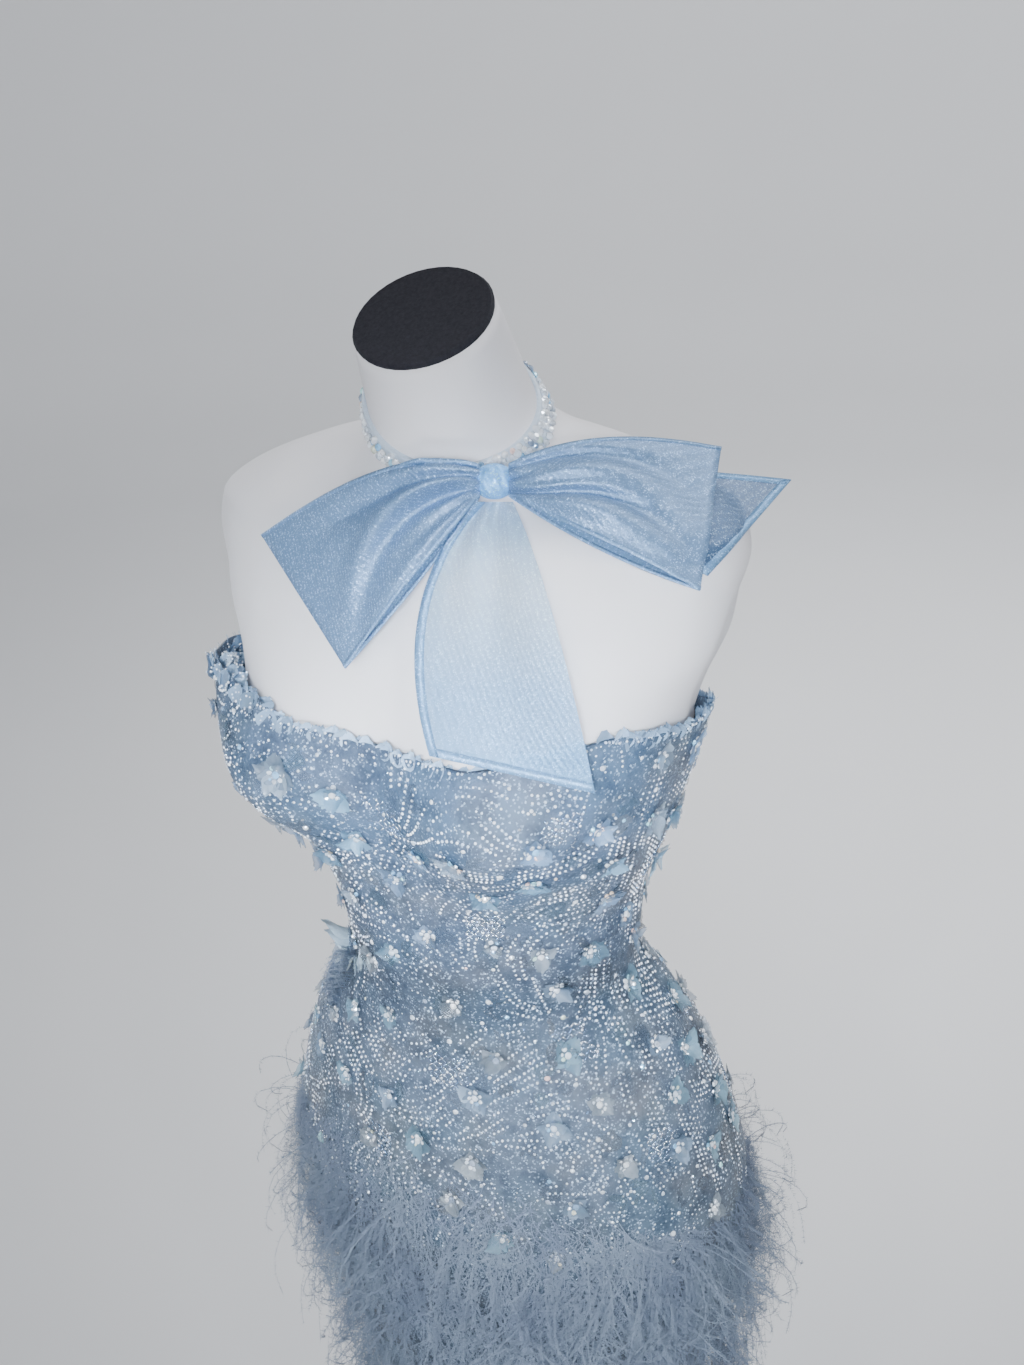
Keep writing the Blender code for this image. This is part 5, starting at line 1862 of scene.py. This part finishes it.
def loop_grid(loop, carriers):
    """A loop's points: out from the knot in front, folded at its end, and back behind."""
    shares = [k / LOOP_STEPS for k in range(LOOP_STEPS + 1)]
    grid = []
    for layer, ordered in ((1, shares), (-1, shares[::-1])):
        for share in ordered:
            high = bend(loop.high_start, loop.high_bend, loop.high_end, share)
            low = bend(loop.low_start, loop.low_bend, loop.low_end, share)
            if layer > 0:
                low = low.lerp(high, loop.tuck * math.sin(math.pi * share))
            swell = math.sin(math.pi * min(share, SWELL_END) ** SWELL_POWER)
            row = []
            for k in range(LOOP_ACROSS):
                side = k / (LOOP_ACROSS - 1)
                spot = lifted(low.lerp(high, side), carriers, LOOP_CLEAR)
                if layer > 0:
                    belly = LOOP_BELLY * swell * (0.75 + 0.25 * math.sin(math.pi * side))
                    spot.z += KNOT_FLOW * (1 - share) ** 4 + FOLD_HALF + belly
                    spot.z += crease_depth(loop, side, share)
                    spot.z += LOOP_PLEAT * (1 - share) ** 3 * math.cos(5.5 * math.pi * side)
                else:
                    spot.z -= FOLD_HALF + LOOP_BACK * swell
                row.append(bow_place(spot))
            grid.append(row)
    return np.array(grid)


def tail_grid(tail, carriers):
    """A tail's points: a single layer that leaves the knot in pleats and falls nearly flat."""
    grid = []
    for step in range(TAIL_STEPS + 1):
        share = step / TAIL_STEPS
        high = bend(tail.high_start, tail.high_bend, tail.high_end, share)
        low = bend(tail.low_start, tail.low_bend, tail.low_end, share)
        row = []
        for k in range(TAIL_ACROSS):
            side = k / (TAIL_ACROSS - 1)
            spot = lifted(low.lerp(high, side), carriers, TAIL_CLEAR)
            pleat = TAIL_PLEAT * (1 - share) ** 2 * math.cos(5 * math.pi * side)
            ripple = TAIL_RIPPLE * math.sin(math.pi * share) * math.sin(2 * math.pi * side + 2.4 * share)
            spot.z += (pleat + ripple) * min(step, 1)
            row.append(bow_place(spot))
        grid.append(row)
    return np.array(grid)


def grid_normals(grid):
    """The directions in which a sheet faces at its points."""
    return unit(np.cross(np.gradient(grid, axis=1), np.gradient(grid, axis=0)))


HEM_HALF = 0.0003
HEM_SHARES = (0.02, 0.30)
TAIL_HEM_WIDER = 2.2


def band_along(pile, edge, inner, normals):
    """A narrow hem: a flat closed band between an edge and a line inside it."""
    rim = edge + unit(edge - inner) * HEM_HALF
    rise = normals * HEM_HALF
    corners = (rim + rise, inner + rise, inner - rise, rim - rise)
    tube = np.stack(corners, axis=1)
    count = len(edge)
    ends = np.array([[0, 1, 2, 3], [4 * count - 1, 4 * count - 2, 4 * count - 3, 4 * count - 4]])
    pile.add(tube, [grid_faces(count, 4, True), ends])


def hems_of(pile, grid, width, sides=(0, -1), end_row=False):
    """Hems on a sheet's long edges, and on its last row."""
    normals = grid_normals(grid)
    reach = np.linalg.norm(grid[:, -1] - grid[:, 0], axis=1)
    share = np.clip(width / np.maximum(reach, 1e-6), *HEM_SHARES)
    places = np.linspace(0, 1, grid.shape[1])
    for side in sides:
        inner = []
        for row, line in enumerate(grid):
            at = share[row] if side == 0 else 1 - share[row]
            inner.append([np.interp(at, places, line[:, axis]) for axis in range(3)])
        band_along(pile, grid[:, side], np.array(inner), normals[:, side])
    if end_row:
        length = np.linalg.norm(grid[-1] - grid[-2], axis=1)
        back = grid[-1] + (grid[-2] - grid[-1]) * (width / length)[:, None]
        band_along(pile, grid[-1], back, normals[-1])


BOW_SLOT = "bow_organza"

# Shares of the bow's colour for its other cloths
SINGLE_LAYER = (2.5, 2.5, 2.1)
LOOP_BEHIND = (1.25, 1.4, 1.4)
# The side tail, a single layer, painted darker: painted shade
SIDE_TAIL_SHADE = (0.40, 0.48, 0.54)
LOOP_HEM = (1.15, 1.2, 1.2)
TAIL_HEM = (1.3, 1.5, 1.5)
# The knot painted lighter than the loops: a painted highlight
KNOT_HIGHLIGHT = (1.15, 1.8, 2.0)


def bow(settings):
    """The knot, two loops and two tails of glitter organza, with their narrow hems."""
    def organza(name, shares, alpha):
        return organza_finish(name, tinted(settings.organza, shares), alpha)

    dense = organza_finish("bow_organza", settings.organza, 1.0)
    sheer = sheer_finish("bow_organza_sheer", tinted(settings.organza, SINGLE_LAYER), settings.sheer)
    behind = organza("bow_organza_behind", LOOP_BEHIND, 0.9)
    # The side tail's organza, darkened by painted shade
    layered = organza("bow_organza_side", SIDE_TAIL_SHADE, 0.92)
    carriers = [surface_of("form_body"), surface_of("collar_band")]
    hems = Pile()
    tail_hems = Pile()
    for loop in LOOPS:
        grid = loop_grid(loop, carriers)
        node = f"bow_loop_{loop.side}"
        wing = sheet_piece(f"bow_wing_{loop.side}", grid, dense, BOW_SLOT, [node])
        wing.data.materials.append(behind)
        for polygon in wing.data.polygons[len(wing.data.polygons) // 2:]:
            polygon.material_index = 1
        hems_of(hems, grid, settings.hem)
    under = carriers + [surface_of("dress_front"), surface_of("neckline_petals")]
    for tail in TAILS:
        front = tail.side == "front"
        grid = tail_grid(tail, under if front else carriers)
        material = sheer if front else layered
        node = f"bow_tail_{tail.side}"
        sheet_piece(f"bow_end_{tail.side}", grid, material, BOW_SLOT, [node])
        hems_of(tail_hems, grid, TAIL_HEM_WIDER * settings.hem, (0,) if front else (0, -1), True)
    hems.piece("bow_loop_hems", organza("bow_loop_hem", LOOP_HEM, 1.0), BOW_SLOT)
    tail_hems.piece("bow_tail_hems", organza("bow_tail_hem", TAIL_HEM, 0.85), BOW_SLOT)
    # The knot's organza, with its painted highlight
    bow_knot(organza("knot_organza", KNOT_HIGHLIGHT, 1.0))


KNOT_TURNS = 48
KNOT_CLIMBS = 33
KNOT_SOFT = 0.95
KNOT_PLEAT = 0.080


def bow_knot(material):
    """The short soft band round the middle of the bow, drawn into slanted pleats."""
    u = turns_of(KNOT_TURNS)[None, :]
    v = np.linspace(-1, 1, KNOT_CLIMBS)[:, None] * 0.5 * math.pi

    def power(value):
        return np.sign(value) * np.abs(value) ** KNOT_SOFT

    round_part = power(np.cos(v))
    x = KNOT[0] / 2 * power(np.sin(v)) + 0 * u
    y = KNOT[1] / 2 * round_part * power(np.cos(u))
    slant = np.sin(v) + 0.45 * np.cos(u)
    pleat = 1 + KNOT_PLEAT * np.cos(3.5 * math.pi * slant) * (np.sin(u) > 0)
    z = KNOT[2] / 2 * round_part * power(np.sin(u)) * pleat + KNOT_OUT
    axes = np.array([BOW_RIGHT, BOW_UP, BOW_OUT])
    points = np.stack((x, y, z), axis=-1) @ axes + np.array(BOW_CENTRE)
    pile = Pile()
    pile.add(points, [grid_faces(KNOT_CLIMBS, KNOT_TURNS, True)])
    pile.piece("bow_centre", material, BOW_SLOT, ["bow_knot"])


STAGE_PROFILE = ((4.6, 0.0), (5.2, 0.12), (5.7, 0.55), (5.95, 1.3), (6.0, 2.4), (6.0, 4.5))
STAGE_SIDES = 96


def stage_floor(settings):
    """A plain round floor that curves up into its backdrop."""
    points = np.concatenate([circle(STAGE_SIDES, radius, level) for radius, level in STAGE_PROFILE])
    rounds = grid_faces(len(STAGE_PROFILE), STAGE_SIDES, True)[:, ::-1]
    faces = rounds.tolist() + fan(0, STAGE_SIDES, len(points)).tolist()
    mesh = bpy.data.meshes.new("stage_floor")
    mesh.from_pydata(points.tolist() + [[0, 0, 0]], [], faces)
    mesh.shade_smooth()
    material = tree_of("stage_floor", settings.floor, 0.9)
    stops = ((0.3, shade(settings.floor, 0.98)), (0.7, settings.floor))
    wire(material, Base_Color=ramp(material, noise(material, 1.2, 3.0), stops))
    mesh.materials.append(material)
    new_object("stage_floor", mesh)


Lamp = namedtuple("Lamp", "name place aim size power spread colour")
LAMPS = (
    Lamp("key_high", (0.52, -1.02, 1.60), (0.05, -0.10, 1.22), 0.34, 0.88, 26, (0.84, 0.91, 1.0)),
    Lamp("key_low", (0.52, -1.02, 1.60), (0.02, -0.06, 0.92), 0.34, 1.30, 44, (0.84, 0.91, 1.0)),
    Lamp("fill", (-1.8, -1.5, 1.2), (0.0, 0.0, 0.9), 1.4, 4.2, 180, (0.92, 0.96, 1.0)),
    Lamp("rim_left", (-1.5, 0.55, 1.25), (-0.12, 0.0, 0.84), 0.5, 2.4, 44, (0.92, 0.96, 1.0)),
    Lamp("rim", (0.9, 2.2, 1.8), (0.0, 0.0, 0.9), 1.0, 3.0, 180, (0.95, 0.98, 1.0)),
    Lamp("backdrop", (0.5, 1.6, 3.4), (-1.8, 4.6, 0.0), 2.4, 185.0, 180, (0.97, 0.98, 1.0)),
    Lamp("spark_high", (0.20, -1.05, 1.95), (0.0, 0.0, 1.0), 0.05, 0.8, 70, (1.0, 1.0, 1.0)),
    Lamp("spark_left", (0.95, -0.75, 1.65), (0.0, 0.0, 1.0), 0.05, 0.8, 70, (1.0, 1.0, 1.0)),
    Lamp("spark_low", (0.30, -1.20, 1.10), (0.0, 0.0, 1.0), 0.05, 0.8, 70, (1.0, 1.0, 1.0)),
)
WORLD_LIGHT = 0.10
WORLD_COLOUR = (0.86, 0.90, 0.96, 1.0)
SENSOR_WIDTH = 36.0
NEAREST_SEEN = 0.05


def stage_lights():
    """The lamps, and a faint light from all round."""
    for lamp in LAMPS:
        data = bpy.data.lights.new(lamp.name, "AREA")
        data.size = lamp.size
        data.energy = lamp.power
        data.spread = math.radians(lamp.spread)
        data.color = lamp.colour
        obj = new_object(lamp.name, data)
        obj.location = lamp.place
        obj.rotation_euler = (Vector(lamp.aim) - Vector(lamp.place)).to_track_quat("-Z", "Y").to_euler()
    world = bpy.data.worlds.new("soft_studio")
    world.use_nodes = True
    background = world.node_tree.nodes["Background"]
    background.inputs["Color"].default_value = WORLD_COLOUR
    background.inputs["Strength"].default_value = WORLD_LIGHT
    bpy.context.scene.world = world


def stage_camera(settings):
    """The camera, at the place and angle from which the dress is seen."""
    aside = math.sin(settings.turn) * settings.away
    before = -math.cos(settings.turn) * settings.away
    position = Vector((aside, before, settings.height))
    yaw = settings.turn + settings.aside
    ahead = Vector((-math.sin(yaw), math.cos(yaw), 0))
    level = Vector((math.cos(yaw), math.sin(yaw), 0))
    forward = ahead * math.cos(settings.down) - Vector((0, 0, math.sin(settings.down)))
    upward = ahead * math.sin(settings.down) + Vector((0, 0, math.cos(settings.down)))
    right = level * math.cos(settings.roll) + upward * math.sin(settings.roll)
    upward = upward * math.cos(settings.roll) - level * math.sin(settings.roll)
    turn = Matrix((right, upward, -forward)).transposed()
    data = bpy.data.cameras.new("camera")
    data.lens = settings.lens
    data.sensor_width = SENSOR_WIDTH
    data.clip_start = NEAREST_SEEN
    obj = new_object("camera", data)
    obj.matrix_world = Matrix.Translation(position) @ turn.to_4x4()
    bpy.context.scene.camera = obj


class DRESS_OT_form(bpy.types.Operator):
    """Cover the dress form and finish its cap, pole and base"""

    bl_idname = "dress.form"
    bl_label = "Dress form"

    def execute(self, context):
        settings = context.scene.dress_form
        form_skin(settings)
        finish_nodes(["neck_cap"], cap_finish(settings.cap))
        finish_nodes(["stand_pole", "stand_base"], metal_finish(settings.metal))
        return {"FINISHED"}


class DRESS_OT_panels(bpy.types.Operator):
    """Lay the gown's front and back panels over the form"""

    bl_idname = "dress.panels"
    bl_label = "Gown panels"

    def execute(self, context):
        gown_panels(context.scene.dress_gown)
        return {"FINISHED"}


class DRESS_OT_flounce(bpy.types.Operator):
    """Hang the two halves of the flounce from the knee seam"""

    bl_idname = "dress.flounce"
    bl_label = "Flounce"

    def execute(self, context):
        flounce(context.scene.dress_gown)
        return {"FINISHED"}


class DRESS_OT_pearls(bpy.types.Operator):
    """Sew on the strings of small pearls"""

    bl_idname = "dress.pearls"
    bl_label = "Pearls"

    def execute(self, context):
        pearls(context.scene.dress_gown)
        return {"FINISHED"}


class DRESS_OT_crystals(bpy.types.Operator):
    """Sew on the cut crystals and their claw cups"""

    bl_idname = "dress.crystals"
    bl_label = "Crystals"

    def execute(self, context):
        crystals(context.scene.dress_gown)
        return {"FINISHED"}


class DRESS_OT_sequins(bpy.types.Operator):
    """Sew on the sequins, seed beads and bugles"""

    bl_idname = "dress.sequins"
    bl_label = "Sequins and bugles"

    def execute(self, context):
        sequins(context.scene.dress_gown)
        return {"FINISHED"}


class DRESS_OT_flowers(bpy.types.Operator):
    """Sew on the organza flowers and the loose petals"""

    bl_idname = "dress.flowers"
    bl_label = "Organza flowers"

    def execute(self, context):
        flowers(context.scene.dress_gown)
        loose_patches(context.scene.dress_gown)
        return {"FINISHED"}


class DRESS_OT_neckline(bpy.types.Operator):
    """Set the petals along the neckline"""

    bl_idname = "dress.neckline"
    bl_label = "Neckline petals"

    def execute(self, context):
        neckline_trim(context.scene.dress_gown)
        return {"FINISHED"}


class DRESS_OT_tuft(bpy.types.Operator):
    """Set the frayed tuft at the wearer's right of the waist"""

    bl_idname = "dress.tuft"
    bl_label = "Waist tuft"

    def execute(self, context):
        waist_tuft(context.scene.dress_gown)
        return {"FINISHED"}


class DRESS_OT_feathers(bpy.types.Operator):
    """Hang the four feather tiers"""

    bl_idname = "dress.feathers"
    bl_label = "Feather tiers"

    def execute(self, context):
        feather_tiers(context.scene.dress_gown)
        return {"FINISHED"}


class DRESS_OT_collar(bpy.types.Operator):
    """Lay the satin collar and set its stones"""

    bl_idname = "dress.collar"
    bl_label = "Crystal collar"

    def execute(self, context):
        collar(context.scene.dress_bow)
        return {"FINISHED"}


class DRESS_OT_bow(bpy.types.Operator):
    """Tie the bow with its loops and tails"""

    bl_idname = "dress.bow"
    bl_label = "Bow"

    def execute(self, context):
        bow(context.scene.dress_bow)
        return {"FINISHED"}


class DRESS_OT_stage(bpy.types.Operator):
    """Set the floor, the lights and the camera"""

    bl_idname = "dress.stage"
    bl_label = "Stage"

    def execute(self, context):
        settings = context.scene.dress_stage
        stage_floor(settings)
        stage_lights()
        stage_camera(settings)
        return {"FINISHED"}


OPERATORS = (
    DRESS_OT_stage,
    DRESS_OT_form,
    DRESS_OT_panels,
    DRESS_OT_flounce,
    DRESS_OT_pearls,
    DRESS_OT_crystals,
    DRESS_OT_sequins,
    DRESS_OT_flowers,
    DRESS_OT_neckline,
    DRESS_OT_tuft,
    DRESS_OT_feathers,
    DRESS_OT_collar,
    DRESS_OT_bow,
)
SETTINGS = (
    ("dress_form", FormSettings),
    ("dress_gown", GownSettings),
    ("dress_bow", BowSettings),
    ("dress_stage", StageSettings),
)


class DRESS_PT_panel(bpy.types.Panel):
    """Lists the steps that finish the dress."""

    bl_idname = "DRESS_PT_panel"
    bl_label = "Mermaid dress"
    bl_space_type = "VIEW_3D"
    bl_region_type = "UI"
    bl_category = "Dress"

    def draw(self, context):
        for operator in OPERATORS:
            self.layout.operator(operator.bl_idname)
        for name, group in SETTINGS:
            box = self.layout.box()
            for field in group.__annotations__:
                box.prop(getattr(context.scene, name), field)


CLASSES = tuple(group for _, group in SETTINGS) + OPERATORS + (DRESS_PT_panel,)


def register():
    """Registers the classes, and the settings on the scene."""
    for cls in CLASSES:
        bpy.utils.register_class(cls)
    for name, group in SETTINGS:
        setattr(bpy.types.Scene, name, PointerProperty(type=group))


def unregister():
    """Takes back what register did."""
    for name, _ in SETTINGS:
        delattr(bpy.types.Scene, name)
    for cls in reversed(CLASSES):
        bpy.utils.unregister_class(cls)


def main():
    """Runs every step in order."""
    register()
    for operator in OPERATORS:
        group, step = operator.bl_idname.split(".")
        getattr(getattr(bpy.ops, group), step)()


if __name__ == "__main__":
    main()
